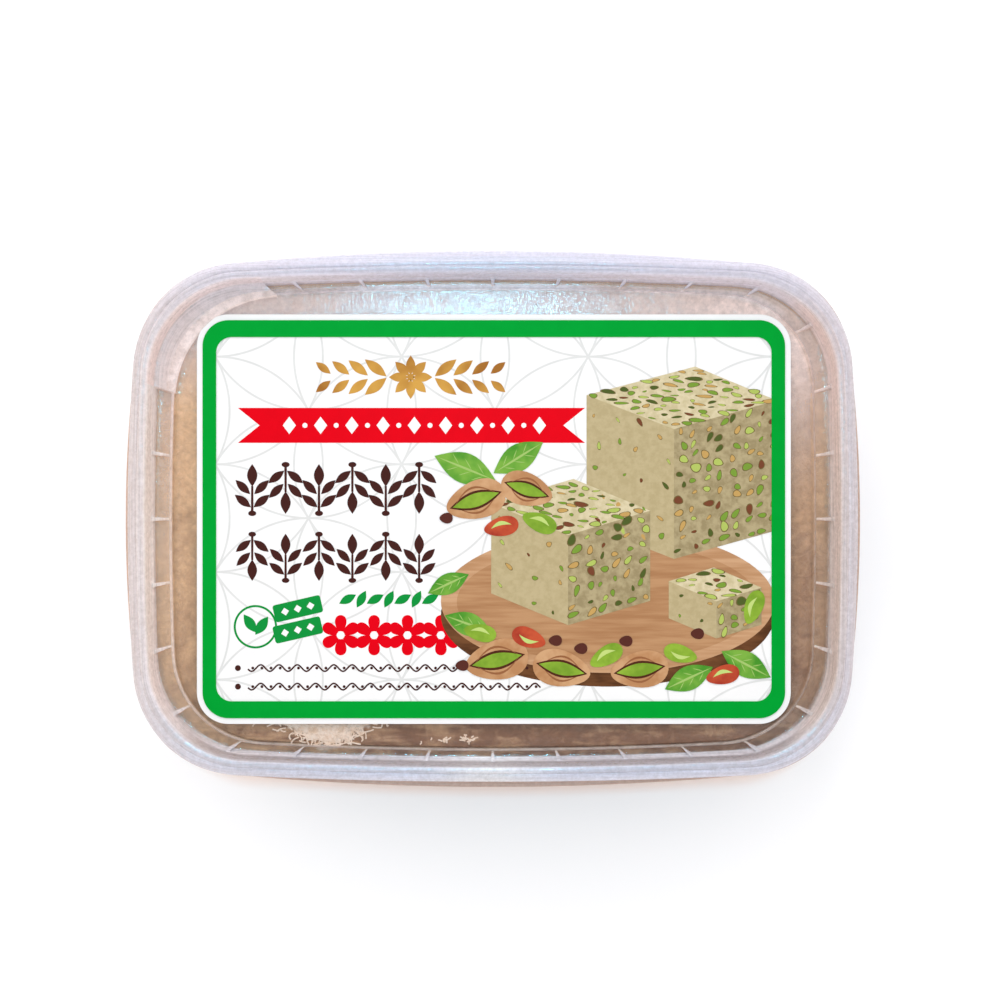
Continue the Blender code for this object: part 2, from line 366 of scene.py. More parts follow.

# %% [markdown]
# Four sides in four lights
#
# The tub stood beside a window, so the same plastic looks pinkish on the left, bluish at the back and in
# front, and greyer on the right. Lamps alone give some of that. The rest is painted light in the plastic's
# colour: a tint for each side's light, blended round the corners, and a painted tone of light and shade
# that changes from the outer edge of the rim inwards.

# %% Tints and tones of painted light
RIM_GLOW = 0.32
PANEL_GLOW = 0.08
# painted light: the plastic's colour under each side's light along the four sides, as linear light
SIDE_LIGHT_TINTS = {
    "left": (0.88, 0.83, 0.83),
    "right": (0.79, 0.765, 0.81),
    "back": (0.80, 0.79, 0.89),
    "front": (0.72, 0.77, 0.90),
}
# painted light and shade: how bright the rim is along its profile on each side, beside its colour
LIGHT_TONE_SHARES = (0.0, 0.2, 0.4, 0.48, 0.56, 0.66, 0.76, 0.86, 1.0)
LIGHT_TONES = {
    "left": (0.85, 0.82, 0.93, 1.1, 0.87, 0.92, 1.2, 1.2, 1.15),
    "right": (0.93, 0.94, 0.97, 1.22, 0.84, 0.88, 0.97, 0.95, 0.95),
    "back": (0.97, 0.95, 0.97, 0.9, 0.77, 0.82, 1.1, 1.15, 1.0),
    "front": (1.08, 1.1, 1.08, 1.06, 0.82, 0.86, 1.0, 1.0, 1.0),
}


def side_blend(x, y, left, right, back, front):
    """A blend of the sides' values: the share of the short sides is X^4 / (X^4 + Y^4), with X and
    Y as the place's distance from the middle in half lengths and half widths."""
    across, along = (np.abs(x) / LID[0])**4, (np.abs(y) / LID[1])**4
    short = (across / np.maximum(across + along, 1e-9))[..., None]
    ends = np.where((x < 0)[..., None], left, right)
    sides = np.where((y > 0)[..., None], back, front)
    return ends * short + sides * (1 - short)


def side_light_tint(x, y):
    """The sides' painted light colours, blended, with a fourth value of 1."""
    mixed = side_blend(x, y, *SIDE_LIGHT_TINTS.values())
    return np.concatenate([mixed, np.ones_like(mixed[..., :1])], axis=-1)


def flow_field(grid, places):
    """Along the edge in slow steps and across it in quick ones, so that noise becomes long lines: the
    place round is a circle of radius 3, and a millimetre across counts 2.2."""
    steps = np.linalg.norm(np.diff(grid, axis=0), axis=2)
    across = np.concatenate([np.zeros((1, grid.shape[1])), np.cumsum(steps, axis=0)])
    turn = np.broadcast_to(places / ROUND * 2 * np.pi, across.shape)
    return np.stack([np.cos(turn) * 3.0, np.sin(turn) * 3.0, across * 2.2], axis=-1)


print("front right corner", side_light_tint(np.array([60.0]), np.array([-42.0])).round(2).tolist())

# %% [markdown]
# The lid
#
# A press-down lid is one moulded sheet, 0.7 mm thick. From outside it rises from a small lip up the skirt,
# rounds over a shoulder, dips in a fine groove, crests in a ridge, falls down the plug wall into a
# narrow channel and climbs one step to the flat panel. That is a profile carried along the outline. The
# small ribs across the channel and the raised band in one corner could be separate bodies joined by a
# Boolean, but on this grid they are simply places where the profile takes a short cut.

# %% The lid's profile
PANEL_TOP = HEIGHT - 3.8
CHANNEL_TOP = HEIGHT - 4.5
LID_WALL = 0.7
# share of the way from the lid's outline to the plug's foot, height below the top, haze
RIM_KEYS = (
    (0.0, -6.0, 0.7), (0.0, -5.5, 0.7), (0.055, -5.1, 0.7), (0.10, -3.2, 0.7), (0.155, -1.5, 0.7),
    (0.22, -0.7, 0.7), (0.33, -0.28, 0.68), (0.445, -0.22, 0.66), (0.482, -0.32, 0.6), (0.518, -0.15, 0.7),
    (0.565, -0.01, 0.84), (0.625, -0.01, 0.8), (0.66, -0.04, 0.78), (0.725, -0.14, 0.76), (0.77, -0.5, 0.76),
    (0.805, -1.3, 0.8), (0.85, -2.9, 0.84), (0.885, -3.6, 0.82), (0.93, -4.12, 0.7), (0.97, -4.38, 0.42),
    (1.0, -4.5, 0.12),
)
UNDER_KEYS = (
    (0.95, -5.2, 0.05), (0.85, -4.9, 0.1), (0.77, -3.9, 0.3), (0.725, -1.7, 0.35), (0.68, -0.85, 0.4),
    (0.60, -0.7, 0.4), (0.47, -0.95, 0.4), (0.36, -1.0, 0.4), (0.29, -1.5, 0.4), (0.19, -5.0, 0.45),
    (0.17, -6.0, 0.5),
)
rim, under = spline(RIM_KEYS, 5), spline(UNDER_KEYS, 3)
print("rim", len(rim), "rows, underside", len(under), "rows")

# %% Places round the lid
RIB_COUNT = 32
RIBS_IN_BAND = (12, 13, 14)
BAND_START = 11.45 / RIB_COUNT * ROUND
BAND_END = 14.0 / RIB_COUNT * ROUND
EVEN_PLACES = 360
NEAR_RIB = np.array([-0.5, -0.36, -0.26, -0.16, 0.0, 0.16, 0.26, 0.36, 0.5])
NEAR_BAND_END = np.linspace(-0.4, 0.4, 7)

# even places, and closer ones where a rib or the band begins
rib_places = np.array([k * ROUND / RIB_COUNT for k in range(RIB_COUNT) if k not in RIBS_IN_BAND])
near_ribs = (rib_places[:, None] + NEAR_RIB).ravel() % ROUND
near_ends = (np.array([BAND_START, BAND_END])[:, None] + NEAR_BAND_END).ravel()
even = np.linspace(0, ROUND, EVEN_PLACES, endpoint=False)
places = np.unique(np.concatenate([even, near_ribs, near_ends]))
lid_line, plug_line = around(LID, places), around(PLUG_FOOT, places)
print(len(places), "places round,", len(rib_places), "ribs")


# %% The lid's rows
def blend_rows(profile):
    """Rings for a profile: each row lies its share of the way between the two outlines."""
    share = profile[:, 0][:, None, None]
    flat = lid_line[None] * (1 - share) + plug_line[None] * share
    height = np.minimum(HEIGHT + profile[:, 1], HEIGHT)[:, None, None]
    return np.concatenate([flat, np.broadcast_to(height, (*flat.shape[:2], 1))], axis=2)


def lid_ring(shape, z):
    """One level row of the lid's grid."""
    return at_height(around(shape, places), z)[None]


CHANNEL_DIP = 0.12
CHANNEL_SHARES = np.linspace(0, 1, 6)[1:, None, None]
STEP_SHARES = np.array([0.12, 0.3, 0.5, 0.7, 0.88, 1.0])[:, None, None]
PANEL_INSETS = (0.3, 0.7, 1.2, 2.0, 3.0, 4.2, 5.6, 7.5)
foot, top = lid_ring(STEP_FOOT, CHANNEL_TOP), lid_ring(STEP_TOP, PANEL_TOP)
channel_rows = blend_rows(rim[-1:]) * (1 - CHANNEL_SHARES) + foot * CHANNEL_SHARES
channel_rows[..., 2:] -= CHANNEL_DIP * np.sin(np.pi * CHANNEL_SHARES)
step_rows = foot * (1 - STEP_SHARES) + top * STEP_SHARES
step_rows[..., 2:] = CHANNEL_TOP + (PANEL_TOP - CHANNEL_TOP) * smooth_step(STEP_SHARES, 0, 1)
panel_rows = np.concatenate([lid_ring(inset(STEP_TOP, d), PANEL_TOP) for d in PANEL_INSETS])
under_rows = [lid_ring(inset(STEP_TOP, d), PANEL_TOP - LID_WALL) for d in (7.5, 3.0, 0.6)]
under_rows.append(lid_ring(inset(STEP_FOOT, 0.35), CHANNEL_TOP - LID_WALL))
under_rows = np.concatenate(under_rows)
sections = [under_rows, blend_rows(under), blend_rows(rim), channel_rows, step_rows, panel_rows]
lid_grid = np.concatenate(sections)
row_counts = [len(rows) for rows in sections]
RIM_ROW, CHANNEL_ROW, STEP_ROW, PANEL_ROW = np.cumsum(row_counts)[1:5]
lid_x, lid_y = lid_grid[..., 0], lid_grid[..., 1]
print("lid grid", lid_grid.shape)

# %% [markdown]
# Where the lid is foggy
#
# The panel lies on the halva in front and looks wet and clear there. At the back and on the right it
# stands a little off the halva, and the plastic shows as fog. The fog could be painted by hand, but a few
# smooth zones say the same: one along each side, and a slow change over the panel.

# %% Fog on the panel and the channel
# distances from the middle where the zones along the short and the long sides begin and end
SHORT_ZONE, LONG_ZONE = (58, 66), (42, 47)
CHANNEL_HAZE = 0.1
STEP_HAZE = 0.6 * np.array([0.6, 1, 1, 1, 0.9, 0.5])
WETNESS = (1.0, 0.0, 0.0, 0.6, 0.5, 1.0)
left_zone, right_zone = (smooth_step(side * lid_line[:, 0], *SHORT_ZONE) for side in (-1, 1))
front_zone, back_zone = (smooth_step(side * lid_line[:, 1], *LONG_ZONE) for side in (-1, 1))

panel_fog = 0.015 + 0.38 * smooth_step(lid_y, 16, 40) + 0.02 * smooth_step(lid_x, 30, 58)
panel_fog += 0.30 * smooth_step(lid_x, 20, 58) * smooth_step(lid_y, 2, 34)
panel_fog -= 0.04 * smooth_step(-lid_x, 40, 60)
panel_fog += 0.08 * (layered(lid_x / 9, lid_y / 9, 3, 3) - 0.5)

# each section has its own haze, and takes its share of the panel's fog
own_haze = (0.0, under[:, 2], rim[:, 2], CHANNEL_HAZE, STEP_HAZE, 0.0)
haze = np.concatenate([np.broadcast_to(value, count) for value, count in zip(own_haze, row_counts)])
haze = haze[:, None] + np.clip(panel_fog, 0.01, 1) * np.repeat(WETNESS, row_counts)[:, None]

# on the left and in front the channel and its step look foggier, on the right clearer
step_haze = haze[STEP_ROW:PANEL_ROW]
step_haze += 0.2 * (left_zone + front_zone - right_zone)
channel_haze = haze[CHANNEL_ROW:STEP_ROW]
channel_haze += 0.2 * left_zone * smooth_step(lid_line[:, 1], -26, 4)
channel_haze -= 0.08 * np.maximum(right_zone, front_zone)

# at the back the channel is clear beside the wall, and pale from its middle on, less so in the middle;
# the same zone later gets painted light in its colour
PALE_HAZE = 0.8
channel_haze[:2] -= 0.1 * back_zone
pale_lit_back = back_zone * (1 - 0.75 * smooth_step(np.abs(lid_line[:, 0] + 5.0), 16, 32))
beyond = haze[CHANNEL_ROW + 2:PANEL_ROW]
beyond += (PALE_HAZE - beyond) * pale_lit_back
haze = np.clip(haze, 0.02, 1)
print("haze from", haze.min().round(2), "to", haze.max().round(2))

# %% Fog on the rim's inner wall, with a painted highlight in front
# the share of each row along the rim, and 0 in all other rows
shares = np.zeros((len(lid_grid), 1))
shares[RIM_ROW:CHANNEL_ROW, 0] = rim[:, 0]
upper = smooth_step(shares, 0.70, 0.76) * (1 - smooth_step(shares, 0.84, 0.9))
lower = smooth_step(shares, 0.88, 0.93)
inner_half = smooth_step(shares, 0.66, 0.72)

# in front the wall is clear in its upper half, and its lower fillet is white as a painted highlight of
# the glare, most so in the middle
CLEAR_HAZE, GLARE_HAZE = 0.36, 0.95
painted_glare = 0.5 + 0.5 * bell(lid_line[:, 0], 0.0, 17.0) + 0.25 * smooth_step(lid_line[:, 0], 16, 34)
haze += front_zone * ((CLEAR_HAZE - haze) * upper + (GLARE_HAZE - haze) * lower * np.minimum(painted_glare, 1))
# on the right the fillet is whiter; at the back the slope is clearer in the middle and foggier beside it,
# a painted shade on its middle
back_middle = bell(lid_line[:, 0], 0.0, 26.0) * back_zone
haze += 0.25 * right_zone * smooth_step(shares, 0.9, 0.97)
haze -= 0.06 * back_middle * inner_half
haze += 0.1 * (back_zone - back_middle) * inner_half * (shares < 0.9)
rim_haze = haze[RIM_ROW:CHANNEL_ROW]
print("rim haze from", rim_haze.min().round(2), "to", rim_haze.max().round(2))

# %% [markdown]
# Ribs and band as short cuts of the profile
#
# A rib is a gusset: instead of going down the wall and across the channel, the profile goes straight
# from the wall to the foot of the step. A mask says how much of the short cut each column takes: all of
# it within the rib's width, none outside, with steep flanks. The band is a level platform over a long
# stretch of the channel, that reaches over the step and ends in a small lip on the panel.

# %% Ribs
RIB_REACH_UP = 1.0
RIB_HALF_WIDTHS = (0.34, 0.2)
RIB_FLANK = 0.1
RIB_HAZE = 0.75
BAND_TOP = HEIGHT - 3.5


def wall_row(z):
    """The row on the plug wall nearest a height."""
    rows = np.arange(RIM_ROW, CHANNEL_ROW)[rim[:, 0] > 0.76]
    return rows[np.argmin(np.abs(lid_grid[rows, 0, 2] - z))]


def eased(first, last, mask, target, fog):
    """Moves rows of the lid's grid and their haze towards a target, as far as the mask says."""
    lid_grid[first:last] += (target - lid_grid[first:last]) * mask[..., None]
    haze[first:last] += (fog - haze[first:last]) * mask


rib_from, rib_to, band_from = wall_row(CHANNEL_TOP + RIB_REACH_UP), STEP_ROW - 1, wall_row(BAND_TOP)
rib_share = np.linspace(0, 1, rib_to - rib_from + 1)[:, None, None]
gussets = lid_grid[rib_from] * (1 - rib_share) + lid_grid[rib_to] * rib_share
apart = (places[:, None] - rib_places + ROUND / 2) % ROUND - ROUND / 2
half_width = np.linspace(*RIB_HALF_WIDTHS, len(rib_share))[:, None]
rib_mask = np.clip((half_width + RIB_FLANK - np.abs(apart).min(axis=1)) / RIB_FLANK, 0, 1)
eased(rib_from, rib_to + 1, rib_mask, gussets, RIB_HAZE)
print("ribs over rows", rib_from, "to", rib_to)

# %% The raised band
BAND_HAZE = 0.8
BAND_FLANK = 0.25
BAND_DIP = 0.1
# how far the lip reaches over the panel at the band's ends, and how much more in its middle
LIP_REACH, LIP_BULGE = 0.1, 0.9
along_band = (places - BAND_START) / (BAND_END - BAND_START)
from_end = np.minimum(places - BAND_START, BAND_END - places)
band_mask = np.clip((from_end + BAND_FLANK) / BAND_FLANK, 0, 1)
inward = around(inset(STEP_TOP, 1.0), places) - around(STEP_TOP, places)
reach = LIP_REACH + LIP_BULGE * np.sin(np.pi * np.clip(along_band, 0, 1))
lip = around(STEP_TOP, places) + inward * reach[:, None]
across_band = np.linspace(0, 1, PANEL_ROW - band_from)[:, None, None]
# the last three rows round off the lip and come down to the panel
platform = np.empty((PANEL_ROW - band_from + 3, len(places), 3))
platform[:-3, :, :2] = lid_grid[band_from, :, :2] * (1 - across_band) + lip * across_band
platform[:-3, :, 2] = BAND_TOP - BAND_DIP * np.sin(np.pi * across_band[..., 0])
platform[-3:, :, :2] = lip + inward * np.array([0.1, 0.22, 0.4])[:, None, None]
platform[-3:, :, 2] = np.array([BAND_TOP - 0.12, PANEL_TOP + 0.08, PANEL_TOP])[:, None]
band_haze = np.full(platform.shape[:2], BAND_HAZE)
band_haze[-1] = haze[PANEL_ROW + 2]
eased(band_from, PANEL_ROW + 3, np.broadcast_to(band_mask, platform.shape[:2]), platform, band_haze)
print("band over", round(BAND_END - BAND_START, 1), "mm of the channel")

# %% The lid's colours, with painted light and shade
HALVA_LIGHT_FRONT = (0.80, 0.68, 0.60)
HALVA_LIGHT_BACK = (0.87, 0.755, 0.75)
HALVA_LIGHT_BACK_RIGHT = (0.95, 0.765, 0.70)
LIT_BACK_TINT = (0.95, 0.93, 0.97)
HALVA_LIGHT_BAND = (0.87, 0.745, 0.715)
PAINTED_GLEAM = (0.93, 0.96, 1.0)
BACK_SHADE = np.array([0.15, 0.08, 0.05])
BAND_WALL_HAZE = 0.92


def toward(colours, target, share):
    """Moves colours towards a target in place, as far as the share says."""
    colours += (np.array(target) - colours) * np.asarray(share)[..., None]


lid_tint = side_light_tint(lid_x, lid_y)
lid_rgb = lid_tint[..., :3]
rim_rgb = lid_rgb[RIM_ROW:CHANNEL_ROW]
# painted warm light from the halva: over the halva the fog takes its colour, less so at the back
halva_light = np.full(lid_rgb.shape, HALVA_LIGHT_BACK)
toward(halva_light, HALVA_LIGHT_BACK_RIGHT, smooth_step(lid_x, 8, 36))
halva_light = HALVA_LIGHT_FRONT + (halva_light - HALVA_LIGHT_FRONT) * smooth_step(lid_y, 0, 32)[..., None]
halva_light_share = 0.35 * smooth_step(shares, 0.72, 0.8) * (1 - back_zone)
halva_light_share += 0.35 * smooth_step(shares, 0.5, 0.56) * right_zone
halva_light_share[CHANNEL_ROW:] = 1.0
toward(lid_rgb, halva_light, halva_light_share)
# painted light and shade on the rim: its tone along its profile, a painted highlight in front and a
# painted shade on the middle at the back
light_tones = [np.interp(shares[:, 0], LIGHT_TONE_SHARES, values)[:, None, None] for values in LIGHT_TONES.values()]
rim_rgb *= side_blend(lid_x, lid_y, *light_tones)[RIM_ROW:CHANNEL_ROW]
toward(rim_rgb, PAINTED_GLEAM, 0.8 * bell(lid_line[:, 0], -1.0, 9.0) * front_zone)
rim_rgb *= 1 - BACK_SHADE * back_middle[:, None]
# painted light: the back channel and step get a pale colour that lifts the shade of the rim's wall
toward(lid_rgb[CHANNEL_ROW + 2:PANEL_ROW + 1], LIT_BACK_TINT, pale_lit_back)
# painted light: the step is lighter on the left
lid_rgb[STEP_ROW:PANEL_ROW] *= 1 + 0.12 * left_zone[:, None]
# painted warm light from the halva on the band too, and less of it on the wall above it
band_zone = 0.45 * band_mask * smooth_step(shares, 0.7, 0.78)
band_zone[CHANNEL_ROW:PANEL_ROW + 2] = band_mask
toward(lid_rgb, HALVA_LIGHT_BAND, band_zone)
np.minimum(lid_rgb, 0.97, out=lid_rgb)
rim_haze += (BAND_WALL_HAZE - rim_haze) * band_zone[RIM_ROW:CHANNEL_ROW]
print("mean tint", lid_rgb.mean(axis=(0, 1)).round(2).tolist())

# %% The lid's mesh
PANEL_WAVES = 0.05
waves = layered(lid_x[PANEL_ROW:] / 7.0, lid_y[PANEL_ROW:] / 7.0, 5, 3) - 0.5
lid_grid[PANEL_ROW:-1, :, 2] += PANEL_WAVES * waves[:-1]
lid_flow = flow_field(lid_grid, places)
lid_flow[CHANNEL_ROW:] = lid_grid[CHANNEL_ROW:] * 0.5
lid_glow = np.full(lid_grid.shape[:2], RIM_GLOW)
lid_glow[CHANNEL_ROW:] = PANEL_GLOW
lid_marks = {"haze": haze, "glow": lid_glow, "tint": lid_tint, "flow": lid_flow}
lid = lathe_like("lid_shell", lid_grid, lid_plastic, lid_marks)
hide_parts("lid")

# %% [markdown]
# The tub
#
# The tub's wall leans in towards a foot ring, and its top carries a flange that peeps out under the
# lid, a little further at the middle of the long sides, where the full tub bulges. It is the same
# construction as the lid: one profile from the middle of the underside, up the outside, over the rim
# and down the inside.

# %% The tub's profile
FLANGE_TOP = HEIGHT - 6.4
FLANGE_BOTTOM = HEIGHT - 7.1
TUB_RIM_TOP = HEIGHT - 1.3
TUB_WALL = 0.8
WALL_LEAN = 0.155
BASE_ROUND = 3.0
FOOT_RING = 2.2
FLOOR_TOP = 1.3
FLOOR_RUN, FLOOR_ROUND = 2.6, 3.0
INNER_SHARE = 0.66
# inset from the foot ring's outer edge, height
FOOT_KEYS = ((1.2, 0.5), (0.6, 0.48), (0.25, 0.3), (0.05, 0.05), (0, 0))
# inset from the flange's edge, height over its underside
FLANGE_KEYS = (
    (4.0, -0.55), (3.6, -0.15), (2.9, 0.0), (0.3, 0.0), (0.08, 0.08), (0.0, 0.3), (0.0, 0.42), (0.08, 0.62),
    (0.3, 0.7),
)
# share of the way from the lid's outline to the plug's foot, height
BEAD_KEYS = (
    (0.34, FLANGE_TOP + 0.06), (0.36, FLANGE_TOP + 0.3), (0.36, TUB_RIM_TOP - 0.6),
    (0.375, TUB_RIM_TOP - 0.2), (0.43, TUB_RIM_TOP), (0.59, TUB_RIM_TOP), (0.645, TUB_RIM_TOP - 0.2),
    (INNER_SHARE, TUB_RIM_TOP - 0.6),
)
print("flange from", round(FLANGE_BOTTOM, 1), "to", round(FLANGE_TOP, 1), "mm")

# %% The tub's rows
TUB_POINTS = 420
tub_places = np.linspace(0, ROUND, TUB_POINTS, endpoint=False)
inner = tuple(np.array(LID) * (1 - INNER_SHARE) + np.array(PLUG_FOOT) * INNER_SHARE)


def lean(z, extra=0.0):
    """The tub's inner outline at a height: it shrinks with the wall's lean."""
    return inset(inner, (FLANGE_BOTTOM - z) * WALL_LEAN + extra)


def tub_ring(shape, z):
    """One level row of the tub's grid."""
    return at_height(around(shape, tub_places), z)


def bead_ring(share, z):
    """A level row between the lid's outline and the plug's foot."""
    return tub_ring(LID, z) * (1 - share) + tub_ring(PLUG_FOOT, z) * share


base = lean(BASE_ROUND, -TUB_WALL)
tub_rows = [tub_ring(inset(base, BASE_ROUND + FOOT_RING + d), z) for d, z in FOOT_KEYS]
for angle in np.linspace(0, np.pi / 2, 9):
    tub_rows.append(tub_ring(inset(base, BASE_ROUND * (1 - np.sin(angle))), BASE_ROUND * (1 - np.cos(angle))))
tub_rows += [tub_ring(lean(z, -TUB_WALL), z) for z in np.linspace(BASE_ROUND, FLANGE_BOTTOM - 0.8, 14)[1:]]
tub_rows += [tub_ring(inset(FLANGE, d), FLANGE_BOTTOM + z) for d, z in FLANGE_KEYS]
tub_rows += [bead_ring(share, z) for share, z in BEAD_KEYS]
tub_rows += [tub_ring(lean(z), z) for z in np.linspace(FLANGE_BOTTOM, FLOOR_TOP + FLOOR_ROUND, 10)]
for angle in np.linspace(0, np.pi / 2, 7)[1:]:
    corner = lean(FLOOR_TOP, FLOOR_RUN * (1 - np.cos(angle)))
    tub_rows.append(tub_ring(corner, FLOOR_TOP + FLOOR_ROUND * (1 - np.sin(angle))))
tub_grid = np.stack(tub_rows)
print("tub grid", tub_grid.shape)

# %% The tub's mesh
WALL_HAZE, FLANGE_HAZE = 0.26, 0.66
TUB_SHADE_AND_HALVA_LIGHT = (0.78, 0.56, 0.41, 1.0)
tub_x, tub_y, tub_z = np.moveaxis(tub_grid, -1, 0)
tub_haze = np.where(tub_z > FLANGE_BOTTOM - 0.3, FLANGE_HAZE, WALL_HAZE)
# painted shade and painted warm light from the halva: in front the flange takes the halva's colour,
# darker, and at the back it is as pale as the lid
at_back = smooth_step(tub_y[..., None], 38, 46)
tub_marks = {
    "haze": tub_haze,
    "glow": np.full(tub_haze.shape, RIM_GLOW),
    "tint": side_light_tint(tub_x, tub_y) * (np.array(TUB_SHADE_AND_HALVA_LIGHT) * (1 - at_back) + at_back),
    "flow": flow_field(tub_grid, tub_places),
}
tub = lathe_like("tub_shell", tub_grid, tub_plastic, tub_marks)
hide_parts("tub")

# %% [markdown]
# The halva
#
# Halva is sesame paste pulled into fibres with hot sugar and pressed into the tub while warm. Its side
# is smooth from the wall, and its top is crumbly: it touches the lid's panel and channel in most places
# and sinks away from it in others. The top follows the underside of the lid and noise pushes it down.

# %% The halva's block
GAP = 0.12
SIDE_GAP = 0.2
CORNER_RUN, CORNER_RISE = 2.7, 2.8
HALVA_POINTS = 900
CHANNEL_RINGS = 8
HOLLOW_DEPTH = 1.44
CRUMB_DEPTH = 0.22
halva_places = np.linspace(0, ROUND, HALVA_POINTS, endpoint=False)
under_channel = CHANNEL_TOP - LID_WALL - GAP
under_panel = PANEL_TOP - LID_WALL - GAP


def halva_ring(shape, z):
    """One level row of the halva's grid."""
    return at_height(around(shape, halva_places), z)


halva_rows = []
for angle in np.linspace(0, np.pi / 2, 7):
    corner = lean(FLOOR_TOP, SIDE_GAP + CORNER_RUN * (1 - np.sin(angle)))
    halva_rows.append(halva_ring(corner, FLOOR_TOP + GAP + CORNER_RISE * (1 - np.cos(angle))))
wall_heights = np.linspace(FLOOR_TOP + FLOOR_ROUND, FLANGE_BOTTOM, 26)[1:]
halva_rows += [halva_ring(lean(z, SIDE_GAP), z) for z in wall_heights]
halva_rows += [halva_ring(inset(inner, d), under_channel - drop) for d, drop in ((0.5, 0.9), (1.0, 0.35))]
side_rows = len(halva_rows)
halva_rows += [halva_ring(inset(PLUG_FOOT, d), under_channel) for d in np.linspace(0.4, 2.4, CHANNEL_RINGS)]
halva_rows += [halva_ring(inset(STEP_TOP, d), under_panel) for d in (*np.linspace(0.2, 8.0, 34), 11.0)]
halva_rows += [halva_rows[-1] * (share, share, 1) for share in (0.6, 0.2)]
halva_grid = np.stack(halva_rows)
hx, hy = halva_grid[..., 0], halva_grid[..., 1]

on_right = smooth_step(hx, 20, 55)
hollow = np.clip(layered(hx / 5.5, hy / 5.5, 1) - 0.52, 0, 1) * (1 - 0.7 * on_right)
crumbs = layered(hx / 1.1, hy / 1.1, 9, 3)
halva_grid[side_rows:, :, 2] -= (HOLLOW_DEPTH * hollow + CRUMB_DEPTH * crumbs)[side_rows:]
print("halva grid", halva_grid.shape)

# %% How dry the halva looks, and its painted light
# it is paler to the left and to the back, which is painted light from the back left, with clouds of
# drier and oilier halva, and in front with streaks
in_front = smooth_step(-hy, 34, 40)
clouds = layered(hx / 6, hy / 6, 21, 4) - 0.5
streaks = layered(hx / 4.0 + hy / 3, hy / 0.8, 27, 4) - 0.5
dryness_and_light = 0.42 + 0.009 * hy + 0.32 * smooth_step(-hx, 0, 60) - 0.05 * smooth_step(hx, 0, 60)
dryness_and_light += (0.5 - 0.3 * on_right) * clouds * (1 - 0.75 * in_front) + streaks * in_front + 0.05 * on_right
# painted light: the halva under the channel is paler, most so on the left, which lifts the shade between
# the channel's walls
lit_channel = slice(side_rows, side_rows + CHANNEL_RINGS)
dryness_and_light[lit_channel] += 0.16 + 0.14 * smooth_step(-hx[lit_channel], 40, 60)
dryness_and_light = np.clip(dryness_and_light, 0, 1)
print("dryness on average", dryness_and_light[side_rows:].mean().round(2))

# %% The pale patch
# a patch of pale shreds in front on the left, pressed against the lid, and a small smear in the channel
PATCH_MIDDLE = -31.2
PATCH_HALF = 10.6
PATCH_EDGE = -38.6
PATCH_REACH = 4.0
PATCH_BELL = 6.5
SMEAR_MIDDLE = (-31.6, -43.4)
SMEAR_HALF = (2.5, 0.9)


def patch_edge(x):
    """How far forward the pale patch reaches at x: a bell curve."""
    return PATCH_EDGE - PATCH_REACH * bell(x, PATCH_MIDDLE, PATCH_BELL)


ragged = 2.4 * (layered(hx / 1.1, hy / 1.1, 31, 3) - 0.5)
flakes = smooth_step(hy - patch_edge(hx) + ragged, 0.0, 0.7)
flakes *= smooth_step(PATCH_HALF - np.abs(hx - PATCH_MIDDLE) + ragged, 0.0, 1.0)
smear_x, smear_y = ((h - middle) / half for h, middle, half in zip((hx, hy), SMEAR_MIDDLE, SMEAR_HALF))
smear = 1 - np.hypot(smear_x, smear_y) + 0.6 * ragged
flakes = np.maximum(flakes, 0.8 * smooth_step(smear, 0.0, 0.5)) * (hy < 0)
print("pale points", int((flakes > 0.5).sum()))

# %% The halva's material
OILY = (0.215, 0.103, 0.055)
DRY = (0.78, 0.50, 0.287)
FLAKE = (0.93, 0.80, 0.70)


def halva_material(name):
    """Oily brown to dry beige by an attribute that also holds painted light, with pale fibres and a fine
    crumb in colour and relief.
    """
    material, tree, output = empty_material(name)
    where = node(tree, "ShaderNodeTexCoord").outputs["Object"]
    crumb = texture(tree, where, 900.0, 6.0, 0.7)
    fibres = texture(tree, where, 260.0, 5.0, 0.65, Distortion=1.5)
    uneven = node(tree, "ShaderNodeMath", operation="ADD", use_clamp=True)
    tree.links.new(attribute(tree, "dryness_and_light", "Fac"), uneven.inputs[0])
    tree.links.new(remapped(tree, fibres, 0.3, 0.7, -0.16, 0.16), uneven.inputs[1])
    ramp = node(tree, "ShaderNodeValToRGB", Fac=uneven.outputs["Value"])
    ramp.color_ramp.elements[0].color = (*OILY, 1.0)
    ramp.color_ramp.elements[1].color = (*DRY, 1.0)
    shade = remapped(tree, crumb, 0.3, 0.7, 0.8, 1.15)
    grainy = node(
        tree, "ShaderNodeMix", data_type="RGBA", blend_type="MULTIPLY",
        Factor=1.0, A=ramp.outputs["Color"], B=shade,
    ).outputs["Result"]
    flaked = product(tree, attribute(tree, "flakes", "Fac"), remapped(tree, crumb, 0.38, 0.56, 0.45, 1.0))
    pale = node(tree, "ShaderNodeMix", data_type="RGBA", Factor=flaked, A=grainy, B=(*FLAKE, 1.0))
    bump = node(tree, "ShaderNodeBump", Strength=0.6, Distance=0.0003, Height=crumb)
    coated(tree, output, pale.outputs["Result"], 0.6, 0.3, Normal=bump.outputs["Normal"])
    print(name, len(tree.nodes), "nodes")
    return material


pressed_halva = halva_material("pressed_halva")
halva_marks = {"dryness_and_light": dryness_and_light, "flakes": flakes}
halva = lathe_like("halva_block", halva_grid, pressed_halva, halva_marks)
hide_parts("halva")

# %% [markdown]
# Shreds of halva
#
# Where halva is broken its fibres curl into pale shreds. A patch of them is pressed against the lid in
# front on the left, and three small tufts lie beside it. A hair system would be lost in the export, so
# each shred is a small closed band along a curl: its direction turns evenly from point to point. Most
# start near the patch's edge.

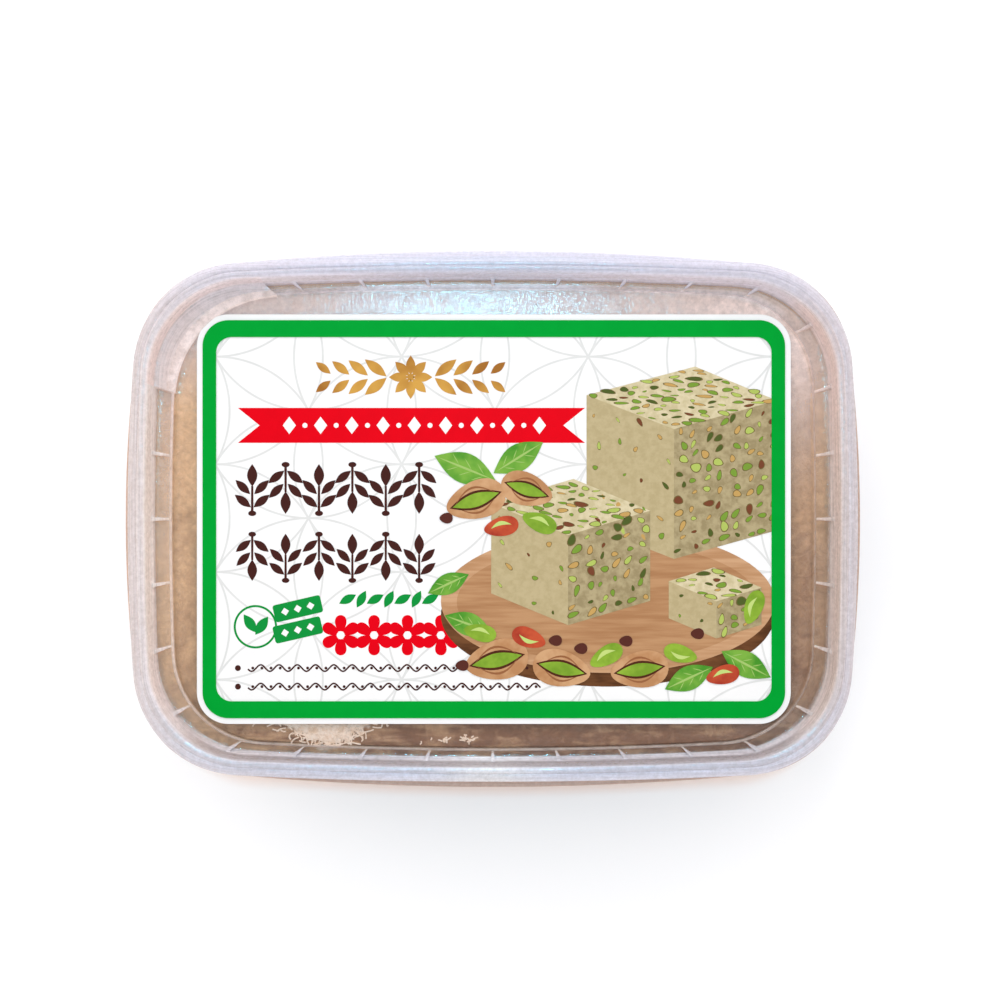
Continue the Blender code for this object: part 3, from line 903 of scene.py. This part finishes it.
# %% Bands along lines
def band_bodies(lines, width, low, high, closed=False):
    """Flat closed bands of one width along lines. Each point gets a left and a right neighbour at half
    the width across the line's direction, both at a low and a high level. Returns points and faces."""
    points, faces, start = [], [], 0
    for line, bottom, top in zip(lines, np.broadcast_to(low, len(lines)), np.broadcast_to(high, len(lines))):
        if closed:
            ahead = np.roll(line, -1, axis=0) - np.roll(line, 1, axis=0)
        else:
            ahead = np.gradient(line, axis=0)
        side = np.column_stack([-ahead[:, 1], ahead[:, 0]]) / np.hypot(*ahead.T)[:, None] * width / 2
        corners = ((line - side, bottom), (line + side, bottom), (line + side, top), (line - side, top))
        points.append(np.concatenate([at_height(flat, z) for flat, z in corners]))
        count = len(line)
        faces += (tube_faces(count, closed) + start).tolist()
        if not closed:
            first_end = start + count * np.arange(4)
            faces += [first_end.tolist(), (first_end[::-1] + count - 1).tolist()]
        start += 4 * count
    return np.vstack(points), faces


# %% The shreds
SHREDS = 420
SHRED_POINTS = 8
SHRED_WIDTH, SHRED_DEPTH = 0.24, 0.4
PATCH_SPREAD = 4.7
FRONT_EDGE = -43.0
# middles of three small tufts that lie by themselves, and how many shreds each has
TUFTS = ((-12.6, -41.9, 2), (-9.3, -41.9, 9), (-4.4, -41.9, 14))
TUFT_SPREAD = (0.55, 0.35)
TUFT_SIZE = 0.45
draw = np.random.default_rng(3)


def curls(start_x, start_y, size=1.0):
    """Lines that start at the given places and turn evenly on their way, flatter in Y. Those that
    would cross the front edge of the panel are left out."""
    count = len(start_x)
    turning = draw.uniform(0, 2 * np.pi, (count, 1))
    turning = turning + draw.normal(0, 0.8, (count, 1)) * np.linspace(0, 1, SHRED_POINTS)
    stride = draw.uniform(0.16, 0.38, (count, 1)) * size
    x = start_x[:, None] + np.cumsum(np.cos(turning) * stride, axis=1)
    y = start_y[:, None] + np.cumsum(np.sin(turning) * stride, axis=1) * 0.7
    return np.stack([x, y], axis=-1)[(y > FRONT_EDGE).all(axis=1)]


start_x = PATCH_MIDDLE + draw.normal(0, PATCH_SPREAD, SHREDS)
patch_curls = curls(start_x, patch_edge(start_x) + draw.uniform(-0.9, 4.6, SHREDS))
tuft_places = np.repeat([tuft[:2] for tuft in TUFTS], [tuft[2] for tuft in TUFTS], axis=0)
tuft_spread = [draw.normal(0, apart, len(tuft_places)) for apart in TUFT_SPREAD]
tuft_x, tuft_y = (tuft_places + np.column_stack(tuft_spread)).T
shred_lines = np.concatenate([patch_curls, curls(tuft_x, tuft_y, TUFT_SIZE)])
shred_tops = under_panel + draw.uniform(-0.06, 0.09, len(shred_lines))
shred_points, shred_faces = band_bodies(shred_lines, SHRED_WIDTH, shred_tops - SHRED_DEPTH, shred_tops)
shred_marks = {"dryness_and_light": np.ones(len(shred_points)), "flakes": draw.uniform(0.75, 1.0, len(shred_points))}
shreds = new_piece("halva_shreds", shred_points, shred_faces, pressed_halva, False, shred_marks)

# %% [markdown]
# The label's paper
#
# The label is a coated paper sticker with round corners that lies flat on the panel. A picture texture
# could carry its print, but shapes drawn in geometry stay sharp at any distance. So each ink is a mesh
# of very thin closed prisms that stand on the paper, and an ink printed later is a little higher.

# %% Inks
# evens the lamps' light, so that paper white doesn't burn out
PRESS = 0.785


def from_screen(*rgb):
    """Screen colour, 0 to 255, as the linear light that a shader works in."""
    value = np.array(rgb) / 255
    return np.where(value <= 0.04045, value / 12.92, ((value + 0.055) / 1.055)**2.4)


def ink(name, *rgb, mottle=0.04, scale=350.0, stretch=(1.0, 1.0, 1.0), second=None):
    """A printed colour: the screen colour as seen in full light, evened by PRESS, with a faint
    mottle, or blended with a second colour by noise that can be stretched into grain."""
    material, tree, output = empty_material(name)
    where = node(tree, "ShaderNodeTexCoord").outputs["Object"]
    placed = node(tree, "ShaderNodeMapping", Vector=where, Scale=stretch)
    cloud = remapped(tree, texture(tree, placed.outputs["Vector"], scale, 3.0, 0.6), 0.38, 0.62, 0.0, 1.0)
    colour = from_screen(*rgb) * PRESS
    other = from_screen(*second) * PRESS if second else colour * (1 - mottle)
    blend = node(tree, "ShaderNodeMix", data_type="RGBA", Factor=cloud, A=(*colour, 1.0), B=(*other, 1.0))
    coated(tree, output, blend.outputs["Result"], 0.42, 0.03)
    return material


white_ink = ink("print_white", 252, 251, 249, mottle=0.01)
brown_ink = ink("print_brown", 72, 36, 31)
green_ink = ink("print_green", 20, 150, 62)
red_ink = ink("print_red", 234, 0, 22)
gold_ink = ink("print_gold", 168, 110, 46, second=(218, 166, 78), scale=90.0)
print("green in linear light", from_screen(20, 150, 62).round(3))

# %% The label's sheet
# half length, half width and corner radius
SHEET = (56.05, 38.65, 6.0)
LABEL_MIDDLE = np.array([0.2, 0.0])
PAPER = 0.14
PAPER_BEVEL = 0.02
LABEL_TOP = PANEL_TOP + 0.06 + PAPER


def round_rectangle(half_length, half_width, corner, per_corner=20):
    """Four quarter circles of the corner radius, anticlockwise from the +X side."""
    angle = np.linspace(0, np.pi / 2, per_corner)
    turn = angle[None] + np.arange(4)[:, None] * np.pi / 2
    middle = np.array([(1, 1), (-1, 1), (-1, -1), (1, -1)]) * (half_length - corner, half_width - corner)
    points = middle[:, None] + corner * np.stack([np.cos(turn), np.sin(turn)], axis=-1)
    return points.reshape(-1, 2)


sheet_edge = round_rectangle(*SHEET) + LABEL_MIDDLE
sheet_top = round_rectangle(*inset(SHEET, PAPER_BEVEL)) + LABEL_MIDDLE
sheet_rows = ((sheet_edge, -PAPER), (sheet_edge, -PAPER_BEVEL), (sheet_top, 0.0))
sheet_grid = np.stack([at_height(flat, LABEL_TOP + z) for flat, z in sheet_rows])
label = lathe_like("label_sheet", sheet_grid, ink("label_paper", 254, 253, 251, mottle=0.02))
label.data.polygons.foreach_set("use_smooth", np.zeros(len(label.data.polygons), bool))
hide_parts("label")

# %% [markdown]
# Shapes for the print
#
# All of the print is made of a few shapes: ovals, leaves with two pointed ends, eggs and lozenges.
# They are turned and moved with one small function, so a sprig or a rosette is a list of leaves.

# %% Shapes
def oval(length, width, count=28):
    """An ellipse: x = l/2 cos(a), y = w/2 sin(a)."""
    return egg(length, width, 0.0, count)


def egg(length, width, blunt=0.22, count=32):
    """An oval whose width is shifted towards one end: y = w/2 sin(a) (1 + blunt cos(a))."""
    angle = np.linspace(0, 2 * np.pi, count, endpoint=False)
    wide = np.sin(angle) * (1 + blunt * np.cos(angle))
    return np.column_stack([np.cos(angle) * length / 2, wide * width / 2])


def leaf(length, width, bend=0.0, count=13):
    """Two arcs from point to point: y = (bend +- w/2) sin(pi t)."""
    t = np.linspace(0, 1, count)
    x, bulge = (t - 0.5) * length, np.sin(np.pi * t)
    there, back = (np.column_stack([x, (bend + side * width / 2) * bulge]) for side in (-1, 1))
    return np.vstack([there, back[::-1][1:-1]])


def lozenge(length, width):
    """A square stood on its corner and stretched."""
    return np.array([(length / 2, 0), (0, width / 2), (-length / 2, 0), (0, -width / 2)])


def turned(shape, degrees, x, y):
    """A shape turned about its middle and moved to a place."""
    angle = np.radians(degrees)
    turn = np.array([(np.cos(angle), np.sin(angle)), (-np.sin(angle), np.cos(angle))])
    return shape @ turn + (x, y)


def ring_of(shape, count, radius, x, y, first=0.0):
    """Copies of a shape that point away from a middle, evenly all round it."""
    turns = first + 360 / count * np.arange(count)
    return [turned(turned(shape, 0, radius, 0), turn, x, y) for turn in turns]


def counter_clockwise(shape):
    """The shape, reversed if its area by the shoelace formula is negative."""
    x, y = shape.T
    area = np.dot(x, np.roll(y, -1)) - np.dot(y, np.roll(x, -1))
    return shape if area > 0 else shape[::-1]


print("a leaf has", len(leaf(5, 2)), "points and an egg", len(egg(5, 2)))


# %% Presses
INK = 0.009
SUNK = 0.02
SMALL_STEP = 0.12
FIELD = np.array([53.4, 35.9])
FRAME_LEVEL = 16


def pressed_on(name, points, faces, material):
    """A piece of print, flat shaded."""
    piece = new_piece(name, points, faces, material, smooth=False)
    return piece


def printed(name, shapes, level, material):
    """Thin closed prisms from inside the paper up to their level, cut off under the frame. Shapes
    that follow each other differ a little in height, so that two of them never share a plane."""
    points, faces, start = [], [], 0
    for index, shape in enumerate(shapes):
        flat = np.clip(shape, -FIELD, FIELD) + LABEL_MIDDLE
        count = len(flat)
        points += [at_height(flat, LABEL_TOP - SUNK)]
        points += [at_height(flat, LABEL_TOP + INK * (level + SMALL_STEP * (index % 6)))]
        faces += (grid_faces(2, count, True) + start).tolist()
        faces += [list(range(start, start + count))[::-1], list(range(start + count, start + 2 * count))]
        start += 2 * count
    return pressed_on(name, np.vstack(points), faces, material)


def printed_lines(name, lines, width, level, material, closed=False, steps=None):
    """Printed bands of one width along lines, each a small step higher or lower than the next."""
    steps = np.arange(len(lines)) % 6 if steps is None else np.array(steps)
    highs = LABEL_TOP + INK * (level + SMALL_STEP * steps)
    placed = [line + LABEL_MIDDLE for line in lines]
    return pressed_on(name, *band_bodies(placed, width, LABEL_TOP - SUNK, highs, closed), material)


print("the frame stands", round(FRAME_LEVEL * INK, 3), "mm over the paper")

# %% [markdown]
# The frame and the lattice
#
# A green frame runs round the label, and the field has a faint lattice of overlapping circles, the old
# petal pattern: each circle passes through the middles of its six neighbours.

# %% Frame and lattice
FRAME_OUTSIDE, FRAME_INSIDE = (54.95, 37.55, 4.9), (52.4, 34.37, 2.9)
CIRCLE = 20.32
CIRCLE_MIDDLE = 0.2
outside, inside = (round_rectangle(*shape) + LABEL_MIDDLE for shape in (FRAME_OUTSIDE, FRAME_INSIDE))
frame_low, frame_high = LABEL_TOP - SUNK, LABEL_TOP + FRAME_LEVEL * INK
frame_section = ((outside, frame_low), (outside, frame_high), (inside, frame_high), (inside, frame_low))
frame_rows = [at_height(*corner) for corner in frame_section]
frame_green = ink("frame_green", 0, 165, 52)
pressed_on("green_frame", np.concatenate(frame_rows), tube_faces(len(outside), True), frame_green)

circle = oval(2 * CIRCLE, 2 * CIRCLE, 180)
circle = np.vstack([circle, circle[:1]])
arcs, steps = [], []
for q, r in np.argwhere(np.ones((9, 11))) - (4, 5):
    placed = circle + (q * CIRCLE * np.sqrt(3) / 2 + CIRCLE_MIDDLE, (r + q / 2) * CIRCLE + CIRCLE_MIDDLE)
    within = (np.abs(placed) < FIELD - 0.6).all(axis=1)
    runs = np.split(np.arange(len(placed)), np.flatnonzero(np.diff(within.astype(int))) + 1)
    kept = [placed[run] for run in runs if within[run[0]] and len(run) > 3]
    arcs += kept
    # seven heights, so that no two circles that touch or cross share a plane
    steps += [(q + 3 * r) % 7] * len(kept)
printed_lines("petal_lattice", arcs, 0.36, 1, ink("lattice_grey", 232, 232, 229), steps=steps)

# %% [markdown]
# Ribbon, ornaments and badge
#
# The left half holds a swallow-tailed ribbon and rows of plain ornaments: a rosette with leaves in
# gold, two rows of dark sprigs, a row of green leaves, a row of red blossoms, a round badge with two
# tabs and two fine waves. The white marks on the ribbon and the tabs are the same lozenges and dots.

# %% The ribbon and the gold ornament
RIBBON = (-48.3, 17.2, 14.4, 21.0)
NOTCH = 4.1
ROSETTE = (-15.7, 26.8)
left, right, low, high = RIBBON
tail = (low + high) / 2
ribbon = ((left, low), (right, low), (right - NOTCH, tail), (right, high), (left, high), (left + NOTCH, tail))
printed("red_ribbon", [np.array(ribbon)], 2, red_ink)
marks = np.linspace(-38.6, 8.6, 17)
ribbon_marks = [lozenge(2.5, 3.3) + (x, tail) for x in marks[::2]]
ribbon_marks += [oval(0.95, 0.95) + (x, tail) for x in marks[1::2]]
printed("ribbon_marks", ribbon_marks, 3.4, white_ink)


def spray_leaf(k, side, up):
    """The k-th leaf of the garland from the middle, on one side and above or below its line."""
    tilt = side * up * 38 + (180 if side < 0 else 0)
    shape = leaf(5.2 - 0.55 * k, 1.9 - 0.15 * k)
    return turned(shape, tilt, ROSETTE[0] + side * (6.6 + 3.3 * k), ROSETTE[1] + up * 1.75)


rosette = ring_of(leaf(3.7, 1.75), 8, 2.25, *ROSETTE)
garland = [spray_leaf(k, side, up) for k in range(4) for side in (-1, 1) for up in (-1, 1)]
printed("gold_ornament", rosette + garland + [oval(1.3, 1.3) + ROSETTE], 2, gold_ink)

# %% The rows of sprigs
SPRIG_START, SPRIG_STEP = -45.6, 6.3
SPRIG_HEIGHT = 9.3


def sprig(x, y, up, height):
    """A stem with an upright leaf at its tip and two pairs of leaves, growing up or down."""
    stem = np.array([(-0.24, 0), (0.24, 0), (0.2, 5.2), (-0.2, 5.2)])
    parts = [stem, turned(leaf(4.2, 1.9), 90, 0, 7.2), oval(1.5, 1.0) + (0, 0.1)]
    for side in (-1, 1):
        for z, tilt in ((2.4, 52), (5.0, 46)):
            parts.append(turned(leaf(3.8, 1.5), 90 + side * tilt, side * -1.75, z))
    scale = height / SPRIG_HEIGHT
    return [counter_clockwise(part * (scale, scale * up) + (x, y - up * height / 2)) for part in parts]


sprigs = []
for y, first_up, height in ((5.7, 1, 9.4), (-7.2, -1, 8.9)):
    for k in range(6):
        sprigs += sprig(SPRIG_START + SPRIG_STEP * k, y, first_up * (-1)**k, height)
printed("brown_sprigs", sprigs, 2, brown_ink)

# %% The lower rows
BLOSSOM_Y = -21.9
TAB_TURN, TAB_X, TAB_HEIGHTS = 13, -37.0, (-16.9, -20.9)
BADGE = np.array([-45.0, -20.3])
WAVE_HEIGHTS = (-28.1, -31.6)
WAVE_LENGTH = 3.45
blossoms = [-28.9 + 6.3 * k for k in range(4)]
petals = [petal for x in blossoms for petal in ring_of(egg(3.3, 2.1, 0.3), 6, 2.15, x, BLOSSOM_Y, 30)]
printed("red_blossoms", petals, 2, red_ink)
printed("blossom_hearts", [oval(1.5, 1.5) + (x, BLOSSOM_Y) for x in blossoms], 3.4, white_ink)

printed_lines("badge_ring", [oval(7.8, 7.8, 64) + BADGE], 0.4, 2, green_ink, closed=True)
green_leaves = [turned(leaf(3.6, 1.6), 62 if k % 2 else 28, -27.6 + 2.6 * k, -15.1) for k in range(7)]
badge_leaf = leaf(4.2, 1.9)
badge_leaves = [turned(badge_leaf, 125, *BADGE + (-1.0, 0.6)), turned(badge_leaf, 55, *BADGE + (1.2, 0.2))]
tabs = [turned(round_rectangle(4.6, 1.65, 0.5, 6), TAB_TURN, TAB_X, y) for y in TAB_HEIGHTS]
printed("green_marks", green_leaves + badge_leaves + tabs, 2, green_ink)
tab_mark = turned(lozenge(1.5, 1.5), TAB_TURN, 0, 0)
tab_marks = [tab_mark + (TAB_X + x, y + 0.23 * x) for y in TAB_HEIGHTS for x in (-2.4, 0.0, 2.4)]
printed("tab_marks", tab_marks, 3.4, white_ink)

wave_x = np.linspace(-46.4, 8.8, 240)
wave = 0.62 * np.sin(wave_x * 2 * np.pi / WAVE_LENGTH)
printed_lines("brown_waves", [np.column_stack([wave_x, y + wave]) for y in WAVE_HEIGHTS], 0.3, 2, brown_ink)
beads = [oval(1.1, 1.1) + (-48.3, y) for y in WAVE_HEIGHTS]
beads += [oval(0.55, 0.55, 12) + (x, y) for y in WAVE_HEIGHTS for x in np.arange(-45.5, 8.8, WAVE_LENGTH / 2)]
printed("brown_beads", beads, 3.2, brown_ink)

# %% [markdown]
# The picture
#
# The right half shows what is inside, in a plain drawing: cut blocks of pale halva with pistachio
# pieces on a round wooden dish, with nuts and leaves round it. Each block is three parallelograms in
# three tones, and its nut pieces are eggs spread over the faces by a jittered grid.

# %% The dish
DISH = np.array([21.5, -15.5])
wood = ink("dish_wood", 212, 168, 128, second=(190, 143, 102), scale=240.0, stretch=(0.25, 3.0, 1.0))
dark_wood = ink("dish_edge", 120, 78, 48, second=(88, 55, 33), scale=240.0, stretch=(0.5, 2.0, 1.0))
inner_wood = ink("dish_hollow", 196, 150, 108, second=(176, 128, 88), scale=240.0, stretch=(0.25, 3.0, 1.0))
printed("dish_edge", [oval(63, 27, 90) + DISH + (0, -2.6)], 3, dark_wood)
printed("dish_rim", [oval(63, 27, 90) + DISH], 4, wood)
printed("dish_hollow", [oval(57, 22.6, 90) + DISH + (0, -0.2)], 5, inner_wood)

# %% The blocks' faces
block_tones = {
    "top": ink("crust_top", 226, 212, 174, second=(206, 192, 150), scale=700.0),
    "right": ink("crust_side", 186, 170, 130, second=(160, 144, 106), scale=700.0),
    "left": ink("cut_face", 198, 181, 139, second=(188, 171, 128), scale=900.0),
}
# lower front corner, run to the left and to the right, height, level
BLOCKS = (
    ((34.0, -7.5), (-16.5, 6.4), (20.5, 5.4), 24.5, 6),
    ((14.0, -20.0), (-14.5, 6.0), (15.5, 4.6), 17.0, 8),
    ((42.0, -22.5), (-9.0, 3.8), (8.5, 2.6), 7.0, 8),
)


def block_faces(corner, run_left, run_right, tall):
    """The three faces of a block that show: name, corner, one side, other side."""
    corner, run_left, run_right, up = map(np.array, (corner, run_left, run_right, (0.0, tall)))
    return (
        ("left", corner, run_left, up),
        ("right", corner, run_right, up),
        ("top", corner + up, run_right, run_left),
    )


faces_by_tone = {(tone, level): [] for tone in block_tones for level in (6, 8)}
for *block, level in BLOCKS:
    for tone, origin, run, rise in block_faces(*block):
        square = np.array([origin, origin + run, origin + run + rise, origin + rise])
        faces_by_tone[tone, level].append(counter_clockwise(square))
for (tone, level), shapes in faces_by_tone.items():
    printed(f"block_{tone}_{level}", shapes, level, block_tones[tone])

# %% The nut pieces
# spacing and size of the pieces on each face
CRUST = {"top": (2.35, 1.75), "right": (2.5, 1.6), "left": (4.6, 1.15)}
NUT_COLOURS = {
    "light": (182, 200, 100), "green": (126, 160, 60), "dark": (84, 98, 44), "tan": (204, 164, 96),
    "brown": (124, 72, 48),
}
# how often each colour comes on each face
NUT_SHARES = {
    "top": (0.3, 0.36, 0.14, 0.14, 0.06),
    "right": (0.22, 0.34, 0.18, 0.18, 0.08),
    "left": (0.2, 0.3, 0.1, 0.34, 0.06),
}
JITTER = 0.26
SKIN_SIZE = 1.22
scatter = np.random.default_rng(7)
nut_bits = {(key, level): [] for key in NUT_COLOURS for level in (7, 9)}
nut_rims = {7: [], 9: []}


def spots_on(run, rise, spacing):
    """A jittered grid of places over a face, as shares of its two sides."""
    steps = [max(round(np.hypot(*side) / spacing), 2) for side in (run, rise)]
    cells = np.stack(np.meshgrid(*[np.arange(n) for n in steps], indexing="ij"), axis=-1).reshape(-1, 2)
    return (cells + 0.5 + scatter.uniform(-JITTER, JITTER, cells.shape)) / steps


for *block, level in BLOCKS:
    for tone, origin, run, rise in block_faces(*block):
        spacing, size = CRUST[tone]
        basis = np.array([run / np.hypot(*run), rise / np.hypot(*rise)])
        for across, up in spots_on(run, rise, spacing):
            key = scatter.choice(list(NUT_COLOURS), p=NUT_SHARES[tone])
            length = size * scatter.uniform(0.5, 1.25)
            bit = egg(length, length * scatter.uniform(0.45, 0.75), 0.3, 14)
            bit = turned(bit, scatter.uniform(0, 360), 0, 0) @ basis
            middle = origin + across * run + up * rise
            nut_rims[level + 1].append(counter_clockwise(bit * SKIN_SIZE + middle))
            nut_bits[key, level + 1].append(counter_clockwise(bit + middle))
rim_ink = ink("nut_skin", 120, 104, 62)
nut_inks = {key: ink("nut_" + key, *colour) for key, colour in NUT_COLOURS.items()}
for level, shapes in nut_rims.items():
    printed(f"nut_skins_{level}", shapes, level, rim_ink)
for (key, level), shapes in nut_bits.items():
    printed(f"nuts_{key}_{level}", shapes, level + 0.9, nut_inks[key])

# %% Leaves and nuts
# x, y, turn, size
LEAVES = (
    (-5.4, 9.6, 158, 12.5), (4.6, 11.6, 32, 11.0), (47.6, -27.4, -28, 10.5), (36.8, -30.0, 205, 10.0),
    (-8.6, -12.2, 205, 8.5), (-4.8, -19.8, 160, 9.5),
)
SHELLS = (
    (-3.4, 3.6, 18, 11.5), (6.2, 5.6, 162, 10.0), (0.6, -26.6, 12, 12.0), (12.8, -28.2, 168, 11.0),
    (27.5, -28.4, 8, 11.0),
)
KERNELS = (
    (8.6, -0.6, -22, 6.8), (21.2, -25.8, 30, 6.8), (-2.6, -21.4, -12, 6.2), (35.2, -25.4, 165, 6.4),
    (49.0, -16.6, 70, 6.6),
)
SKINS = ((1.4, -1.4, 12, 6.6), (6.6, -22.4, 160, 6.6), (43.2, -29.4, 14, 6.4))
PIPS = ((16.4, -24.4), (24.9, -23.0), (-9.0, 0.2), (11.6, -22.9), (38.4, -21.6), (-6.0, -27.6))


def set_out(parts_of, spots):
    """The same drawing at every spot, sized and turned as the spot says."""
    return [turned(part, turn, x, y) for x, y, turn, size in spots for part in parts_of(size)]


def vein(size, place, side):
    """A thin leaf that slants forward from the midrib."""
    return turned(leaf(size * 0.2, 0.16), side * 38, size * place, side * size * 0.075)


def ribs(size):
    """The midrib of a leaf."""
    return [leaf(size * 0.92, 0.42)]


def veins(size):
    """Three pairs of side veins."""
    return [vein(size, place, side) for place in (-0.22, -0.02, 0.18) for side in (-1, 1)]


def ridges(size):
    """Two curved lines along a shell, above and below its gap."""
    return [leaf(size * 0.74, size * 0.035, side * size * 0.21) for side in (-1, 1)]


print(len(LEAVES), "leaves,", len(SHELLS), "shells,", len(KERNELS + SKINS), "kernels and", len(PIPS), "pips")

# %% Print the leaves and nuts
# name, shapes, level, ink
NUT_PRINTS = (
    ("leaves", set_out(lambda size: [leaf(size, size * 0.46)], LEAVES), 10.5,
     ink("leaf_green", 74, 150, 46, second=(128, 180, 70), scale=160.0)),
    ("leaf_ribs", set_out(ribs, LEAVES) + set_out(veins, LEAVES), 11.4, ink("leaf_rib", 168, 202, 112)),
    ("shells", set_out(lambda size: [egg(size, size * 0.62)], SHELLS), 12.2,
     ink("shell_tan", 214, 168, 124, second=(190, 138, 94), scale=220.0)),
    ("shell_lines", set_out(ridges, SHELLS), 13.1, ink("shell_shade", 156, 102, 66)),
    ("shell_gaps", set_out(lambda size: [leaf(size * 0.9, size * 0.3)], SHELLS), 13.1,
     ink("shell_gap", 84, 44, 28)),
    ("kernels", set_out(lambda size: [leaf(size * 0.8, size * 0.22)], SHELLS)
     + set_out(lambda size: [egg(size, size * 0.52)], KERNELS), 14,
     ink("kernel_green", 150, 186, 62, second=(122, 160, 48), scale=220.0)),
    ("kernel_skins", set_out(lambda size: [egg(size, size * 0.55)], SKINS), 14,
     ink("kernel_skin", 204, 88, 56, second=(172, 62, 44), scale=220.0)),
    ("shines", set_out(lambda size: [leaf(size * 0.6, size * 0.12, size * 0.1)], KERNELS + SKINS), 15,
     ink("kernel_shine", 200, 222, 128)),
    ("pips", [egg(2.5, 2.0) + place for place in PIPS], 13.1, ink("pip_brown", 92, 48, 40)),
)
for name, shapes, level, material in NUT_PRINTS:
    printed(name, shapes, level, material)

# %% [markdown]
# Floor and lamps
#
# A pale floor and a bright, even sky give the soft light of a product photograph. A sky that is brighter
# near the horizon lights the rim's flanks. The camera sees itself as a dark spot in the glossy panel, so
# the sky has one too. A small bluish lamp high up makes the glare on the lid's back edge, as the window
# does in the photograph.

# %% The floor
FLOOR_HALF = 3000.0
pale_floor, tree, output = empty_material("pale_floor")
coated(tree, output, (0.97, 0.97, 0.97, 1.0), 0.8, 0.12)
floor_corners = at_height(np.array([(-1, -1), (1, -1), (1, 1), (-1, 1)]) * FLOOR_HALF, 0.0)
floor_mesh = bpy.data.meshes.new("floor")
floor_mesh.from_pydata((floor_corners * MM).tolist(), [], [(0, 1, 2, 3)])
floor_mesh.materials.append(pale_floor)
floor = bpy.data.objects.new("floor", floor_mesh)
bpy.context.scene.collection.objects.link(floor)
floor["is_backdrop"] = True
print("floor", 2 * FLOOR_HALF * MM, "m wide")

# %% The lamps
OBJECT_MIDDLE = (0, 0, 0.02)
# name, place and target in metres, size, power, colour
LAMPS = (
    ("window", (-0.015, 0.158, 0.93), (-0.005, 0.04, 0.03), (0.065, 0.07), 2.3, (0.2, 0.72, 1.0)),
    ("low_window", (0.0, 0.95, 0.55), OBJECT_MIDDLE, (0.24, 0.2), 2.4, (0.92, 0.93, 1.0)),
    ("sky_north", (0.0, 0.95, 0.75), OBJECT_MIDDLE, (1.5, 0.3), 1.9, (0.98, 0.93, 0.97)),
    ("lamp_west", (-0.8, 0.3, 0.7), OBJECT_MIDDLE, (0.8, 0.8), 1.6, (1.0, 0.95, 0.9)),
)
for name, place, target, size, power, colour in LAMPS:
    lamp = bpy.data.lights.new(name, "AREA")
    lamp.shape = "RECTANGLE"
    lamp.size, lamp.size_y = size
    lamp.energy = power
    lamp.color = colour
    item = bpy.data.objects.new(name, lamp)
    bpy.context.scene.collection.objects.link(item)
    item.location = place
    item.rotation_euler = (Vector(target) - Vector(place)).to_track_quat("-Z", "Y").to_euler()
    print(name, power, "W")

# %% The sky
OVERHEAD_LIGHT = 0.595
HORIZON_LIGHT = 2.02
DARK_SPOT = (0.0, -0.139, 0.990)
SKY_COLOUR = (1.03, 0.90, 0.85, 1.0)
world = bpy.data.worlds.new("studio")
bpy.context.scene.world = world
world.use_nodes = True
sky = world.node_tree
direction = node(sky, "ShaderNodeTexCoord").outputs["Generated"]
nearness = node(sky, "ShaderNodeVectorMath", operation="DOT_PRODUCT")
sky.links.new(direction, nearness.inputs[0])
nearness.inputs[1].default_value = DARK_SPOT
upward = node(sky, "ShaderNodeSeparateXYZ", Vector=direction)
tent = remapped(sky, upward.outputs["Z"], 0.0, 1.0, HORIZON_LIGHT, OVERHEAD_LIGHT)
spot = remapped(sky, nearness.outputs["Value"], 0.93, 0.985, 1.0, 0.3)
sky.links.new(product(sky, tent, spot), sky.nodes["Background"].inputs["Strength"])
sky.nodes["Background"].inputs["Color"].default_value = SKY_COLOUR
print("sky from", OVERHEAD_LIGHT, "overhead to", HORIZON_LIGHT, "at the horizon")

# %% [markdown]
# The camera
#
# The photograph is taken from straight above, a little off the object's middle. A pixel at the height of
# the lid's top is as large as makes the outline 140 mm long. The distance is a guess from how much of the
# rim's inner walls shows.

# %% The camera
CAMERA_DISTANCE = 300.0
# the size of a pixel in millimetres, and the pixel at the object's middle
PIXEL = 0.18649
PHOTO_SIZE = 1000
TUB_MIDDLE = (492.7, 519.4)
camera_data = bpy.data.cameras.new("camera")
camera_data.sensor_width = 36.0
camera_data.lens = camera_data.sensor_width * CAMERA_DISTANCE / (PHOTO_SIZE * PIXEL)
camera = bpy.data.objects.new("camera", camera_data)
bpy.context.scene.collection.objects.link(camera)
off_x, off_y = ((PHOTO_SIZE / 2 - middle) * PIXEL * MM for middle in TUB_MIDDLE)
camera.location = (off_x, -off_y, (HEIGHT + CAMERA_DISTANCE) * MM)
scene = bpy.context.scene
scene.camera = camera
scene.view_settings.view_transform = "Standard"
scene.cycles.transparent_max_bounces = 32
scene.cycles.caustics_reflective = False
scene.cycles.sample_clamp_indirect = 3.0
print("lens", round(camera_data.lens, 2), "mm")

# %% The size at the end
low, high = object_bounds()
print("visual", [round(v / MM, 2) for v in (*low, *high)])
